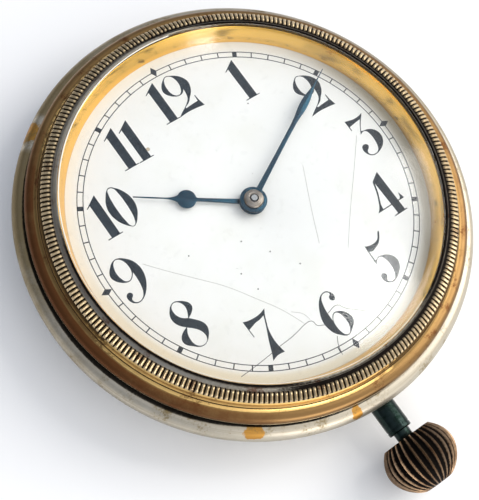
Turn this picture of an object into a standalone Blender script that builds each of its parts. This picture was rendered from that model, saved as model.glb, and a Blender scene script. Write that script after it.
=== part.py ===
"""An eight day travel clock, lying on its back, as the separate pieces it is put together from.

Metres, with +Z out of the dial, +Y towards 12 o'clock and the crown along -Y. The origin is the middle
of the flat back. Angles on the plan are degrees from +X, counter-clockwise as seen from the dial.
"""

import math

import bmesh
import bpy

# Sizes shared by the whole clock
SEAT_GAP = 0.00005
PIVOT_PLAY = 0.00006
RUN_PLAY = 0.00009
CUT_OVERRUN = 0.0002
MERGE_DISTANCE = 0.000001
FLAT_ANGLE = 0.002
RIDGE_COUNT = 276
RIDGES_PER_FACET = 6
CASE_STEPS = RIDGE_COUNT // RIDGES_PER_FACET
WHEEL_STEPS = 24
POCKET_STEPS = 14
PLATE_STEPS = 38
BOSS_STEPS = 12
SHAFT_STEPS = 12
ARBOR_STEPS = 8
HOLE_STEPS = 8
SCREW_STEPS = 10

# Movement plate, which the case's ledge is bored for
PLATE_RADIUS = 0.031
PLATE_EDGE_PLAY = 0.0006

# Dial and the heights that hang from it
DIAL_FACE_Z = 0.0145
DIAL_THICKNESS = 0.0011
DIAL_RADIUS = 0.0326
DIAL_HOLE_RADIUS = 0.0019
DIAL_EDGE_ROUNDING = 0.0003
DIAL_FOOT_RADIUS = 0.0007
DIAL_FOOT_LENGTH = 0.0026
DIAL_FOOT_INSET = 0.0037
DIAL_FOOT_CIRCLE = DIAL_RADIUS - DIAL_FOOT_INSET
DIAL_FOOT_BEARINGS = (52.0, 232.0)
DIAL_COVERED_WIDTH = 0.0011
DIAL_FACE_EDGE_RADIUS = DIAL_RADIUS - DIAL_COVERED_WIDTH

# Reflector ring between the dial and the glass
REFLECTOR_LEAN = 0.00125
REFLECTOR_RIM_WIDTH = 0.00045
REFLECTOR_TOP_RADIUS = DIAL_FACE_EDGE_RADIUS + REFLECTOR_LEAN
REFLECTOR_OUTER_RADIUS = REFLECTOR_TOP_RADIUS + REFLECTOR_RIM_WIDTH
REFLECTOR_HEIGHT = 0.00325
REFLECTOR_FOOT_WIDTH = 0.0009

# Watch glass
GLASS_RIM_WIDTH = 0.00045
GLASS_WALL = 0.0008
GLASS_RADIUS = REFLECTOR_OUTER_RADIUS + SEAT_GAP
GLASS_RIM_THICKNESS = 0.0007
GLASS_STEP_RADIUS = GLASS_RADIUS - GLASS_RIM_WIDTH
GLASS_THICKNESS = 0.0011
GLASS_SHOULDER_RISE = 0.00025
GLASS_DOME_RISE = 0.0019
GLASS_INNER_RADIUS = GLASS_STEP_RADIUS - GLASS_WALL
GLASS_DOME_ARCS = 3

# Milled bezel, from its screwed skirt to the lip that holds the glass
BEZEL_BORE_PLAY = 0.00015
BEZEL_SKIRT_WALL = 0.0027
BEZEL_THREAD_RADIUS = GLASS_RADIUS + BEZEL_BORE_PLAY + BEZEL_SKIRT_WALL
BEZEL_SKIRT_BASE_Z = 0.01375
LIP_PLAY = 0.0001
LIP_WIDTH = 0.00025
LIP_FOOT_WIDTH = 0.00065
LIP_HEIGHT = 0.0004
LIP_INNER_RADIUS = GLASS_STEP_RADIUS + LIP_PLAY
LIP_OUTER_RADIUS = LIP_INNER_RADIUS + LIP_WIDTH
RIDGE_RUN = 0.00203
RIDGE_HEIGHT = 0.00042
RIDGE_SKIRT = 0.0003
RIDGE_INNER_RADIUS = LIP_OUTER_RADIUS + LIP_FOOT_WIDTH
RIDGE_INNER_Z = 0.0184
RIDGE_OUTER_RADIUS = RIDGE_INNER_RADIUS + RIDGE_RUN
RIDGE_OUTER_Z = 0.0177
BEZEL_NECK_STEP = 0.00012
BEZEL_NECK_Z = 0.01715
BEZEL_NECK_RADIUS = RIDGE_OUTER_RADIUS + BEZEL_NECK_STEP
BEZEL_COVE_WIDTH = 0.0009
BEZEL_WAIST_Z = 0.01605
BEZEL_WAIST_RADIUS = BEZEL_NECK_RADIUS + BEZEL_COVE_WIDTH
BEZEL_OVOLO_WIDTH = 0.0013
BEZEL_FLANGE_EDGE = 0.00045
BEZEL_FLANGE_RADIUS = BEZEL_WAIST_RADIUS + BEZEL_OVOLO_WIDTH
BEZEL_OGEE_ARCS = 2

# Case band
THREAD_PLAY = 0.0002
BAND_NECK_WALL = 0.0015
BAND_NECK_RADIUS = BEZEL_THREAD_RADIUS - THREAD_PLAY
BAND_NECK_TOP_Z = 0.0159
BAND_NECK_BORE = BAND_NECK_RADIUS - BAND_NECK_WALL
BAND_SHELF_MARGIN = 0.00015
BAND_SHELF_Z = 0.0134
BAND_SHELF_RADIUS = BEZEL_FLANGE_RADIUS + BAND_SHELF_MARGIN
BAND_SHOULDER_WIDTH = 0.0019
BAND_SHOULDER_Z = 0.0113
BAND_SHOULDER_ARCS = 3
BAND_RADIUS = BAND_SHELF_RADIUS + BAND_SHOULDER_WIDTH
BAND_BEAD_HEIGHT = 0.0004
BAND_BEAD_STEP = 0.0003
BAND_WALL_LEAN = 0.001
BAND_WALL_Z = 0.0074
BAND_WALL_RADIUS = BAND_RADIUS - BAND_BEAD_STEP - BAND_WALL_LEAN
BAND_BELLY_WALL = 0.0023
BAND_BELLY_BORE = BAND_WALL_RADIUS - BAND_BELLY_WALL
BAND_RIM_LEAN = 0.0017
BAND_RIM_WIDTH = 0.0016
BAND_RIM_Z = 0.0044
BAND_RIM_RADIUS = BAND_WALL_RADIUS - BAND_RIM_LEAN
BAND_RIM_BORE = BAND_RIM_RADIUS - BAND_RIM_WIDTH
BAND_LEDGE_THICKNESS = 0.00145
BAND_LEDGE_RADIUS = PLATE_RADIUS + PLATE_EDGE_PLAY

# Back cover
BACK_THICKNESS = 0.0009
BACK_RIM_HEIGHT = 0.0013
BACK_BOWL_INSET = 0.0027
BACK_BOWL_WIDTH = 0.007
BACK_BOWL_RISE = 0.0018
BACK_BOWL_RADIUS = BAND_RIM_RADIUS - BACK_BOWL_INSET
BACK_REST_RADIUS = BACK_BOWL_RADIUS - BACK_BOWL_WIDTH
BACK_SNAP_HEIGHT = 0.0013
BACK_SNAP_WIDTH = 0.0009

# Stem, its sleeve and the crown, all on one axis
STEM_AXIS_Z = 0.00725
STEM_PULL = 0.0012
SLEEVE_RADIUS = 0.00215
SLEEVE_BORE = 0.00155
SLEEVE_SEAT_DEPTH = 0.0009
SLEEVE_REACH = 0.0049
SLEEVE_INNER_END = BAND_BELLY_BORE - SLEEVE_SEAT_DEPTH
SLEEVE_OUTER_END = BAND_RADIUS + SLEEVE_REACH
NECK_RADIUS = 0.00145
STEM_BODY_RADIUS = 0.0012
STEM_PILOT_RADIUS = 0.0007
STEM_PILOT_END = 0.0126
STEM_SHOULDER_AT = 0.0214
STEM_GROOVE_AT = 0.0262
STEM_GROOVE_WIDTH = 0.0011
STEM_GROOVE_RADIUS = 0.0007
STEM_NECK_LEAD = 0.0022
STEM_NECK_AT = SLEEVE_INNER_END - STEM_NECK_LEAD
CROWN_RADIUS = 0.0064
CROWN_LENGTH = 0.0092
CROWN_GAP = 0.0014
CROWN_INNER_AT = SLEEVE_OUTER_END + CROWN_GAP
CROWN_FACE_RADIUS = 0.0021
CROWN_BORE_RADIUS = 0.0016
CROWN_BORE_DEPTH = 0.0055
CROWN_FLUTES = 28
CROWN_FLUTE_DEPTH = 0.00062
CROWN_STATIONS = 8
CROWN_ROUNDNESS_SHARE = 0.6
CROWN_CUT_SHARE = 0.12

# Hands
HOUR_HAND_BEARING = 146.4
MINUTE_HAND_BEARING = 28.5
HOUR_HAND_Z = 0.01515
HAND_THICKNESS = 0.0003
HOUR_BOSS_RADIUS = 0.0023
HOUR_STALK_WIDTH = 0.00085
HOUR_STALK_END_WIDTH = 0.0006
HOUR_DISC_AT = 0.0116
HOUR_DISC_RADIUS = 0.0016
HOUR_NEEDLE_ROOT_AT = 0.0142
HOUR_NEEDLE_WIDTH = 0.0003
HOUR_HAND_LENGTH = 0.0205
MINUTE_HAND_Z = 0.0161
MINUTE_BOSS_RADIUS = 0.00235
MINUTE_STALK_WIDTH = 0.00095
MINUTE_WAIST_WIDTH = 0.0006
MINUTE_WAIST_AT = 0.0125
MINUTE_LEAF_ROOT_AT = 0.0152
MINUTE_LEAF_AT = 0.0196
MINUTE_LEAF_WIDTH = 0.0018
MINUTE_LEAF_END_AT = 0.0252
MINUTE_NEEDLE_WIDTH = 0.00026
MINUTE_HAND_LENGTH = 0.0292
CAP_RADIUS = 0.0017
CAP_HEIGHT = 0.0007
CAP_ARCS = 2

# Movement plates and bridges
PLATE_FLANGE_PLAY = 0.0008
PLATE_FLANGE_RADIUS = BAND_NECK_BORE - PLATE_FLANGE_PLAY
PLATE_FLANGE_THICKNESS = 0.0009
PLATE_RIM_PLAY = 0.0005
PLATE_RIM_RADIUS = BAND_LEDGE_RADIUS - PLATE_RIM_PLAY
PLATE_RIM_WIDTH = 0.0012
POCKET_DEPTH_STEP = 0.00006
PALLET_POCKET_ORDER = 7
PLATE_TOP_Z = 0.0119
POCKET_ROOF_Z = 0.0108
BRIDGE_TOP_Z = STEM_AXIS_Z - SEAT_GAP
BARREL_BRIDGE_BASE_Z = 0.0047
BARREL_BRIDGE_RECESS_Z = 0.0059
TRAIN_BRIDGE_BASE_Z = 0.0056
COCK_TOP_Z = 0.0044
COCK_BASE_Z = 0.0032
PALLET_COCK_BASE_Z = 0.0073
PALLET_COCK_THICKNESS = 0.0007
BRIDGE_RIM_RADIUS = 0.0304
PIVOT_RADIUS = 0.00025
PIVOT_DEPTH = 0.0006
POCKET_PLAY = 0.00035
SCREW_RADIUS = 0.0006
SCREW_HEAD_RADIUS = 0.0012
SCREW_HEAD_HEIGHT = 0.0007
SCREW_SLOT_WIDTH = 0.0003
SCREW_SLOT_DEPTH = 0.0003
BARREL_SCREW_PLACES = ((0.0277, 147.0), (0.0282, 262.0))
TRAIN_SCREW_PLACES = ((0.01232, 75.0), (0.02152, -39.5))
COCK_SCREW_CIRCLE = 0.0289
PALLET_FOOT_REACH = 0.0045
PALLET_FOOT_BEARING = -20.0

# Tooth forms, as shares of the module or of the pitch
WHEEL_ADDENDUM_SHARE = 1.1
WHEEL_DEDENDUM_SHARE = 1.3
LEAF_ADDENDUM_SHARE = 0.7
LEAF_DEDENDUM_SHARE = 1.4
LEAF_TIP_SHARE = 0.2
LEAF_ROOT_SHARE = 0.42

# Barrel and winding wheels
BARREL_TEETH = 48
BARREL_MODULE = 0.000475
BARREL_DISTANCE = 0.0182
BARREL_BEARING = 199.0
BARREL_BASE_Z = 0.00605
BARREL_TOP_Z = 0.00965
BARREL_TEETH_HEIGHT = 0.001
BARREL_WALL = 0.0005
BARREL_FLOOR = 0.0006
BARREL_DRUM_INSET = 0.0006
BARREL_DRUM_RADIUS = BARREL_TEETH * BARREL_MODULE / 2 - BARREL_DRUM_INSET
BARREL_COVER_THICKNESS = 0.0005
ARBOR_HUB_RADIUS = 0.0029
ARBOR_RADIUS = 0.0014
ARBOR_SQUARE_SHARE = 0.7
SPRING_TURNS = 5
SPRING_POINTS = 12
SPRING_THICKNESS = 0.00028
SPRING_PLAY = 0.0002
WINDING_MODULE = 0.0005
RATCHET_TEETH = 40
CROWN_WHEEL_TEETH = 32
WINDING_PINION_TEETH = 12
WINDING_WHEEL_THICKNESS = 0.00085
CROWN_WHEEL_BORE = 0.0028
POST_HEAD_RADIUS = 0.0036
POST_HEAD_HEIGHT = 0.0004
POST_TIP_Z = 0.0063
WINDING_PINION_AT = 0.019
WINDING_PINION_LENGTH = 0.002
CLUTCH_LENGTH = 0.0044
CLUTCH_RADIUS = 0.002
CLUTCH_GROOVE_RADIUS = 0.0014
CLUTCH_TRAVEL = 0.0012
CLUTCH_POCKET_PLAY = 0.0002
CLUTCH_TEETH = 8

# Click and its spring
CLICK_BEARING = 75.0
CLICK_PIVOT_CLEARANCE = 0.0026
CLICK_BOSS_RADIUS = 0.0011
CLICK_ARM_WIDTH = 0.0009
CLICK_TIP_PLAY = 0.00013
CLICK_SPRING_THICKNESS = 0.0003
CLICK_SPRING_LENGTH = 0.0062
CLICK_SPRING_FOOT_RADIUS = 0.0011

# Going train
INTERMEDIATE_TEETH = 40
INTERMEDIATE_LEAVES = 8
INTERMEDIATE_MODULE = 0.00033
INTERMEDIATE_WHEEL_Z = 0.00995
INTERMEDIATE_WHEEL_THICKNESS = 0.0005
CENTRE_LEAVES = 10
CENTRE_TEETH = 45
CENTRE_MODULE = 0.00025
CENTRE_WHEEL_Z = 0.0092
CENTRE_ARBOR_RADIUS = 0.0006
THIRD_LEAVES = 6
THIRD_TEETH = 48
THIRD_MODULE = 0.00022
THIRD_BEARING = 12.0
THIRD_WHEEL_Z = 0.0083
FOURTH_LEAVES = 6
FOURTH_TEETH = 48
FOURTH_MODULE = 0.0002
FOURTH_BEARING = -50.0
FOURTH_WHEEL_Z = 0.0074
ESCAPE_LEAVES = 6
ESCAPE_TEETH = 15
ESCAPE_RADIUS = 0.0033
ESCAPE_BEARING = 48.0
ESCAPE_WHEEL_Z = 0.009
TRAIN_WHEEL_THICKNESS = 0.00038
ESCAPE_WHEEL_THICKNESS = 0.0003
TRAIN_ARBOR_RADIUS = 0.00045
PINION_MARGIN = 0.0002
CROSSING_COUNT = 4
CROSSING_ARM_WIDTH = 0.0008
CROSSING_HUB_SHARE = 0.3
CROSSING_RIM_SHARE = 0.84

# Escapement and balance
PALLET_BEARING = 68.0
PALLET_HALF_SPAN = 30.0
PALLET_STONE_PLAY = 0.0002
PALLET_STONE_WIDTH = 0.00035
PALLET_ARM_WIDTH = 0.0006
PALLET_THICKNESS = 0.0003
BALANCE_DISTANCE = 0.0049
BALANCE_RADIUS = 0.0072
BALANCE_RIM_WIDTH = 0.0009
BALANCE_RIM_BASE_Z = 0.0055
BALANCE_RIM_HEIGHT = 0.0009
BALANCE_ARM_WIDTH = 0.0011
BALANCE_ARM_THICKNESS = 0.0004
BALANCE_HUB_RADIUS = 0.0011
BALANCE_HUB_BORE = 0.00055
STAFF_RADIUS = 0.00048
ROLLER_RADIUS = 0.0014
ROLLER_Z = 0.0085
ROLLER_THICKNESS = 0.0003
JEWEL_PIN_RADIUS = 0.0002
JEWEL_PIN_AT = 0.00105
JEWEL_PIN_LENGTH = 0.0005
FORK_PLAY = 0.00012
HAIRSPRING_Z = 0.00475
HAIRSPRING_HEIGHT = 0.0003
HAIRSPRING_THICKNESS = 0.0001
HAIRSPRING_INNER_RADIUS = 0.0007
HAIRSPRING_OUTER_RADIUS = 0.0036
HAIRSPRING_TURNS = 4
HAIRSPRING_POINTS = 12
STUD_RADIUS = 0.0004
REGULATOR_RADIUS = 0.0016
REGULATOR_BORE = 0.0009
REGULATOR_THICKNESS = 0.0004
REGULATOR_TAIL_LENGTH = 0.0058
REGULATOR_TAIL_WIDTH = 0.0004
HAIRSPRING_END_BEARING = 48.0
COCK_BOSS_RADIUS = 0.0021
COCK_FOOT_RADIUS = 0.0272
COCK_FOOT_SPREAD = 15.0
COCK_ARM_WIDTH = 0.0034
ENDSTONE_RADIUS = 0.00078
ENDSTONE_HEIGHT = 0.0003

# Motion work and hand setting
CANNON_LEAVES = 10
MINUTE_WHEEL_TEETH = 30
MOTION_MODULE = 0.000264
MINUTE_LEAVES = 8
HOUR_WHEEL_TEETH = 32
SETTING_PINION_LEAVES = 12
SETTING_WHEEL_TEETH = 14
SETTING_MODULE = 0.00034
MOTION_GAP = 0.0001
MOTION_WHEEL_THICKNESS = 0.0004
CANNON_RADIUS = 0.001
CANNON_BORE = 0.0007
HOUR_PIPE_RADIUS = 0.0015
MINUTE_POST_RADIUS = 0.0004
MINUTE_POST_BEARING = -73.5
SETTING_WHEEL_Z = 0.0089
SETTING_WHEEL_THICKNESS = 0.0007
SETTING_ARBOR_RADIUS = 0.0006
SETTING_LEVER_PIVOT_X = 0.006
SETTING_LEVER_PIVOT_AT = 0.0268
SETTING_LEVER_Z = 0.0096
SETTING_LEVER_THICKNESS = 0.0007
SETTING_LEVER_WIDTH = 0.0014
SETTING_LEVER_BOSS_RADIUS = 0.0014
SETTING_LEVER_TAIL = 0.003
SETTING_PIN_RADIUS = 0.00032
SETTING_POCKET_PLAY = 0.0014

# Case screws
CASE_SCREW_BEARINGS = (20.0, 200.0)
CASE_SCREW_CIRCLE = (BAND_LEDGE_RADIUS + PLATE_FLANGE_RADIUS) / 2
CASE_SCREW_HEAD_RADIUS = 0.0013
CASE_SCREW_LENGTH = 0.0017

# Colours as red, green, blue shares
BRASS_SHARE = (0.58, 0.42, 0.2)
GILT_SHARE = (0.78, 0.56, 0.22)
NICKEL_SHARE = (0.56, 0.52, 0.45)
STEEL_SHARE = (0.62, 0.62, 0.64)
DARK_STEEL_SHARE = (0.05, 0.07, 0.07)
BLUED_SHARE = (0.03, 0.09, 0.15)
BRONZE_SHARE = (0.36, 0.27, 0.21)
ENAMEL_SHARE = (0.93, 0.92, 0.88)
GLASS_SHARE = (0.95, 0.97, 0.98)
GREY_CAP_SHARE = (0.27, 0.24, 0.2)


def remove_scene_objects():
    """Empties the scene."""
    for item in list(bpy.data.objects):
        bpy.data.objects.remove(item)


def new_collection(name, hidden=False):
    """Adds a collection to the scene."""
    collection = bpy.data.collections.new(name)
    bpy.context.scene.collection.children.link(collection)
    collection.hide_render = hidden
    return collection


def finish(name, colour, roughness, metallic):
    """Makes a plain material."""
    material = bpy.data.materials.new(name)
    material.use_nodes = True
    shader = material.node_tree.nodes["Principled BSDF"]
    shader.inputs["Base Color"].default_value = (*colour, 1.0)
    shader.inputs["Roughness"].default_value = roughness
    shader.inputs["Metallic"].default_value = metallic
    return material


remove_scene_objects()
PARTS = new_collection("travel_clock")
CUTTERS = new_collection("cutters", hidden=True)
BRASS = finish("brass", BRASS_SHARE, 0.4, 1.0)
GILT = finish("gilt", GILT_SHARE, 0.2, 1.0)
NICKEL = finish("nickel", NICKEL_SHARE, 0.42, 1.0)
STEEL = finish("steel", STEEL_SHARE, 0.3, 1.0)
DARK_STEEL = finish("dark_steel", DARK_STEEL_SHARE, 0.3, 1.0)
BLUED = finish("blued_steel", BLUED_SHARE, 0.3, 1.0)
BRONZE = finish("bronze", BRONZE_SHARE, 0.45, 1.0)
ENAMEL = finish("enamel", ENAMEL_SHARE, 0.2, 0.0)
GLASS = finish("glass", GLASS_SHARE, 0.03, 0.0)
GREY_CAP = finish("grey_cap", GREY_CAP_SHARE, 0.45, 1.0)


# Plan geometry

def polar(radius, degrees, centre=(0.0, 0.0)):
    """The point at a radius and bearing from a centre."""
    angle = math.radians(degrees)
    return (centre[0] + radius * math.cos(angle), centre[1] + radius * math.sin(angle))


def bearing(start, end):
    """The bearing from one plan point to another, in degrees."""
    return math.degrees(math.atan2(end[1] - start[1], end[0] - start[0]))


def distance(start, end):
    """The plan distance between two points."""
    return math.hypot(end[0] - start[0], end[1] - start[1])


def triangle_angle(side_a, side_b, opposite):
    """The angle between two sides of a triangle, in degrees."""
    cosine = (side_a ** 2 + side_b ** 2 - opposite ** 2) / (2 * side_a * side_b)
    return math.degrees(math.acos(cosine))


def arc(radius, start, end, count, centre=(0.0, 0.0)):
    """Points along an arc, both ends included."""
    return [polar(radius, start + (end - start) * step / count, centre) for step in range(count + 1)]


def mesh_distance(teeth_a, teeth_b, module):
    """The centre distance of two meshed gears."""
    return (teeth_a + teeth_b) * module / 2


def meshed_start(teeth_a, start_a, line, teeth_b):
    """The bearing of a tooth of gear b, so that it meshes with gear a along the line from a to b."""
    lead = ((line - start_a) * teeth_a / 360) % 1
    return line + 180 + (lead + 0.5) * 360 / teeth_b


def gear_outline(teeth, module, start, leaves=False, centre=(0.0, 0.0)):
    """The outline of a wheel, or of a pinion with square-rooted leaves."""
    pitch = 360 / teeth
    radius = teeth * module / 2
    if leaves:
        root = radius - LEAF_DEDENDUM_SHARE * module
        tip = radius + LEAF_ADDENDUM_SHARE * module
        steps = ((root, -LEAF_ROOT_SHARE), (tip, -LEAF_TIP_SHARE), (tip, LEAF_TIP_SHARE), (root, LEAF_ROOT_SHARE))
    else:
        root = radius - WHEEL_DEDENDUM_SHARE * module
        tip = radius + WHEEL_ADDENDUM_SHARE * module
        steps = ((root, -1.0), (tip, 0.0))
    return [
        polar(reach, start + tooth * pitch + share * pitch / 2, centre)
        for tooth in range(teeth)
        for reach, share in steps
    ]


def crossing_outlines(rim_radius, start, centre=(0.0, 0.0)):
    """The windows between a wheel's arms."""
    inner = rim_radius * CROSSING_HUB_SHARE + CROSSING_ARM_WIDTH / 2
    outer = rim_radius * CROSSING_RIM_SHARE
    windows = []
    for index in range(CROSSING_COUNT):
        middle = start + (index + 0.5) * 360 / CROSSING_COUNT
        spread = 180 / CROSSING_COUNT
        inner_half = spread - math.degrees(CROSSING_ARM_WIDTH / 2 / inner)
        outer_half = spread - math.degrees(CROSSING_ARM_WIDTH / 2 / outer)
        window = arc(outer, middle - outer_half, middle + outer_half, 2, centre)
        window += arc(inner, middle + inner_half, middle - inner_half, 1, centre)
        windows.append(window)
    return windows


# Ways of making pieces

def add_piece(name, mesh, material, collection=None):
    """Puts a mesh in the scene as a named piece."""
    piece = bpy.data.objects.new(name, mesh)
    (collection or PARTS).objects.link(piece)
    if material:
        mesh.materials.append(material)
    return piece


def as_cutter(piece):
    """Hides a piece that only shapes others."""
    for collection in list(piece.users_collection):
        collection.objects.unlink(piece)
    CUTTERS.objects.link(piece)
    piece.hide_render = True
    piece.display_type = "WIRE"
    return piece


def turned(name, profile, material, steps=SHAFT_STEPS, closed=False, centre=(0.0, 0.0)):
    """Turns a profile of (radius, z) points, given down its outer side, about the vertical axis."""
    mesh = bpy.data.meshes.new(name)
    points = [(radius, 0.0, z) for radius, z in profile]
    edges = [(index, index + 1) for index in range(len(points) - 1)]
    if closed:
        edges.append((len(points) - 1, 0))
    mesh.from_pydata(points, edges, [])
    piece = add_piece(name, mesh, material)
    piece.location = (*centre, 0.0)
    screw = piece.modifiers.new("turn", "SCREW")
    screw.axis = "Z"
    screw.steps = steps
    screw.render_steps = steps
    screw.use_merge_vertices = True
    screw.merge_threshold = MERGE_DISTANCE
    screw.use_smooth_shade = False
    return piece


def shaft_profile(spans):
    """A solid shaft's profile from (radius, top z, bottom z) spans, listed from the top."""
    profile = [(0.0, spans[0][1])]
    for radius, top, bottom in spans:
        profile += [(radius, top), (radius, bottom)]
    profile.append((0.0, spans[-1][2]))
    return profile


def disc_profile(radius, top, bottom):
    """A plain solid disc's profile."""
    return shaft_profile([(radius, top, bottom)])


def ring_profile(outer, inner, top, bottom):
    """A plain ring's closed profile."""
    return [(outer, top), (outer, bottom), (inner, bottom), (inner, top)]


def flat(name, outlines, bottom, top, material, centre=(0.0, 0.0)):
    """Extrudes flat outlines, the first one outside and the rest its holes, between two heights."""
    curve = bpy.data.curves.new(name, "CURVE")
    curve.dimensions = "2D"
    curve.fill_mode = "BOTH"
    curve.extrude = (top - bottom) / 2
    for outline in outlines:
        spline = curve.splines.new("POLY")
        spline.points.add(len(outline) - 1)
        for point, (x, y) in zip(spline.points, outline):
            point.co = (x, y, 0.0, 1.0)
        spline.use_cyclic_u = True
    outline_object = bpy.data.objects.new(name, curve)
    PARTS.objects.link(outline_object)
    bpy.context.view_layer.update()
    evaluated = outline_object.evaluated_get(bpy.context.evaluated_depsgraph_get())
    mesh = bpy.data.meshes.new_from_object(evaluated)
    bpy.data.objects.remove(outline_object)
    mesh.name = name
    mesh.materials.clear()
    weld(mesh)
    piece = add_piece(name, mesh, material)
    piece.location = (*centre, (top + bottom) / 2)
    return piece


def weld(mesh):
    """Joins the loose caps of an extruded outline to its walls and clears the flat faces."""
    work = bmesh.new()
    work.from_mesh(mesh)
    bmesh.ops.remove_doubles(work, verts=work.verts, dist=MERGE_DISTANCE)
    bmesh.ops.dissolve_limit(work, angle_limit=FLAT_ANGLE, verts=work.verts, edges=work.edges)
    work.to_mesh(mesh)
    work.free()


def boolean(piece, tool, operation):
    """Applies a cutter to a piece."""
    modifier = piece.modifiers.new(operation.lower(), "BOOLEAN")
    modifier.operation = operation
    modifier.solver = "EXACT"
    modifier.object = as_cutter(tool)
    return piece


def cut(piece, *tools):
    """Takes tools away from a piece."""
    for tool in tools:
        boolean(piece, tool, "DIFFERENCE")
    return piece


def join(piece, *tools):
    """Adds tools to a piece."""
    for tool in tools:
        boolean(piece, tool, "UNION")
    return piece


def drill(name, radius, top, bottom, centre, steps=SCREW_STEPS):
    """A plain upright cylinder, to cut with or to join on."""
    return flat(name, [circle(radius, steps=steps)], bottom, top, None, centre)


def circle(radius, centre=(0.0, 0.0), steps=SHAFT_STEPS):
    """A circle's outline."""
    return arc(radius, 0, 360 - 360 / steps, steps - 1, centre)


def bar_outline(start, end, start_width, end_width):
    """A tapered bar's outline between two points."""
    across = bearing(start, end) + 90
    return [
        polar(start_width / 2, across, start),
        polar(start_width / 2, across + 180, start),
        polar(end_width / 2, across + 180, end),
        polar(end_width / 2, across, end),
    ]


def about(outline, centre):
    """An outline measured from a centre."""
    return [(x - centre[0], y - centre[1]) for x, y in outline]


def strip_outline(inner_radius, outer_radius, turns, points, thickness, start, centre):
    """A flat spiral strip's outline, out along one side and back along the other."""
    count = turns * points
    outer = []
    inner = []
    for step in range(count + 1):
        radius = inner_radius + (outer_radius - inner_radius) * step / count
        degrees = start + 360 * step / points
        outer.append(polar(radius + thickness / 2, degrees, centre))
        inner.append(polar(radius - thickness / 2, degrees, centre))
    return outer + inner[::-1]


def on_stem_axis(piece):
    """Lays a piece turned about Z along the stem, its +Z pointing out through 6 o'clock."""
    piece.location = (0.0, 0.0, STEM_AXIS_Z)
    piece.rotation_euler = (math.pi / 2, 0.0, 0.0)
    return piece


def on_stem_axis_at(piece, reach):
    """Lays a flat piece across the stem, its middle at a reach from the clock's middle."""
    piece.location = (0.0, -reach, STEM_AXIS_Z)
    piece.rotation_euler = (math.pi / 2, 0.0, 0.0)
    return piece


def stem_tunnel(name, radius, near, far, steps=SHAFT_STEPS):
    """A plain cylinder along the stem's axis, to cut with."""
    return on_stem_axis_at(flat(name, [circle(radius, steps=steps)], near, far, None), (near + far) / 2)


# Where the arbors stand

CENTRE = (0.0, 0.0)
BARREL = polar(BARREL_DISTANCE, BARREL_BEARING)
BARREL_REACH = mesh_distance(BARREL_TEETH, INTERMEDIATE_LEAVES, BARREL_MODULE)
INTERMEDIATE_REACH = mesh_distance(INTERMEDIATE_TEETH, CENTRE_LEAVES, INTERMEDIATE_MODULE)
INTERMEDIATE = polar(
    INTERMEDIATE_REACH,
    BARREL_BEARING - triangle_angle(INTERMEDIATE_REACH, BARREL_DISTANCE, BARREL_REACH),
)
THIRD = polar(mesh_distance(CENTRE_TEETH, THIRD_LEAVES, CENTRE_MODULE), THIRD_BEARING)
FOURTH = polar(mesh_distance(THIRD_TEETH, FOURTH_LEAVES, THIRD_MODULE), FOURTH_BEARING, THIRD)
ESCAPE = polar(mesh_distance(FOURTH_TEETH, ESCAPE_LEAVES, FOURTH_MODULE), ESCAPE_BEARING, FOURTH)
PALLET = polar(ESCAPE_RADIUS / math.cos(math.radians(PALLET_HALF_SPAN)), PALLET_BEARING, ESCAPE)
BALANCE = polar(BALANCE_DISTANCE, PALLET_BEARING, PALLET)
WINDING_REACH = mesh_distance(RATCHET_TEETH, CROWN_WHEEL_TEETH, WINDING_MODULE)
CROWN_WHEEL = (0.0, BARREL[1] - math.sqrt(WINDING_REACH ** 2 - BARREL[0] ** 2))
CANNON_REACH = mesh_distance(CANNON_LEAVES, MINUTE_WHEEL_TEETH, MOTION_MODULE)
SETTING_REACH = mesh_distance(SETTING_PINION_LEAVES, MINUTE_WHEEL_TEETH, MOTION_MODULE)
MINUTE_POST = polar(CANNON_REACH, MINUTE_POST_BEARING)
SETTING_DISTANCE = math.sqrt(SETTING_REACH ** 2 - MINUTE_POST[0] ** 2) - MINUTE_POST[1]
SETTING = (0.0, -SETTING_DISTANCE)
HOUR_MODULE = 2 * CANNON_REACH / (MINUTE_LEAVES + HOUR_WHEEL_TEETH)
RATCHET_RADIUS = RATCHET_TEETH * WINDING_MODULE / 2
RATCHET_TIP = RATCHET_RADIUS + WHEEL_ADDENDUM_SHARE * WINDING_MODULE
BARREL_TIP = BARREL_TEETH * BARREL_MODULE / 2 + WHEEL_ADDENDUM_SHARE * BARREL_MODULE
WINDING_WHEEL_TOP_Z = BARREL_BRIDGE_BASE_Z - SEAT_GAP
WINDING_WHEEL_BASE_Z = WINDING_WHEEL_TOP_Z - WINDING_WHEEL_THICKNESS
CLICK = polar(RATCHET_TIP + CLICK_PIVOT_CLEARANCE, CLICK_BEARING, BARREL)
PALLET_FOOT = polar(PALLET_FOOT_REACH, PALLET_FOOT_BEARING, PALLET)
BARREL_SCREWS = tuple(polar(*place) for place in BARREL_SCREW_PLACES)
TRAIN_SCREWS = tuple(polar(*place) for place in TRAIN_SCREW_PLACES)
COCK_SCREW = polar(COCK_SCREW_CIRCLE, bearing(CENTRE, BALANCE))


# Case

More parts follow.
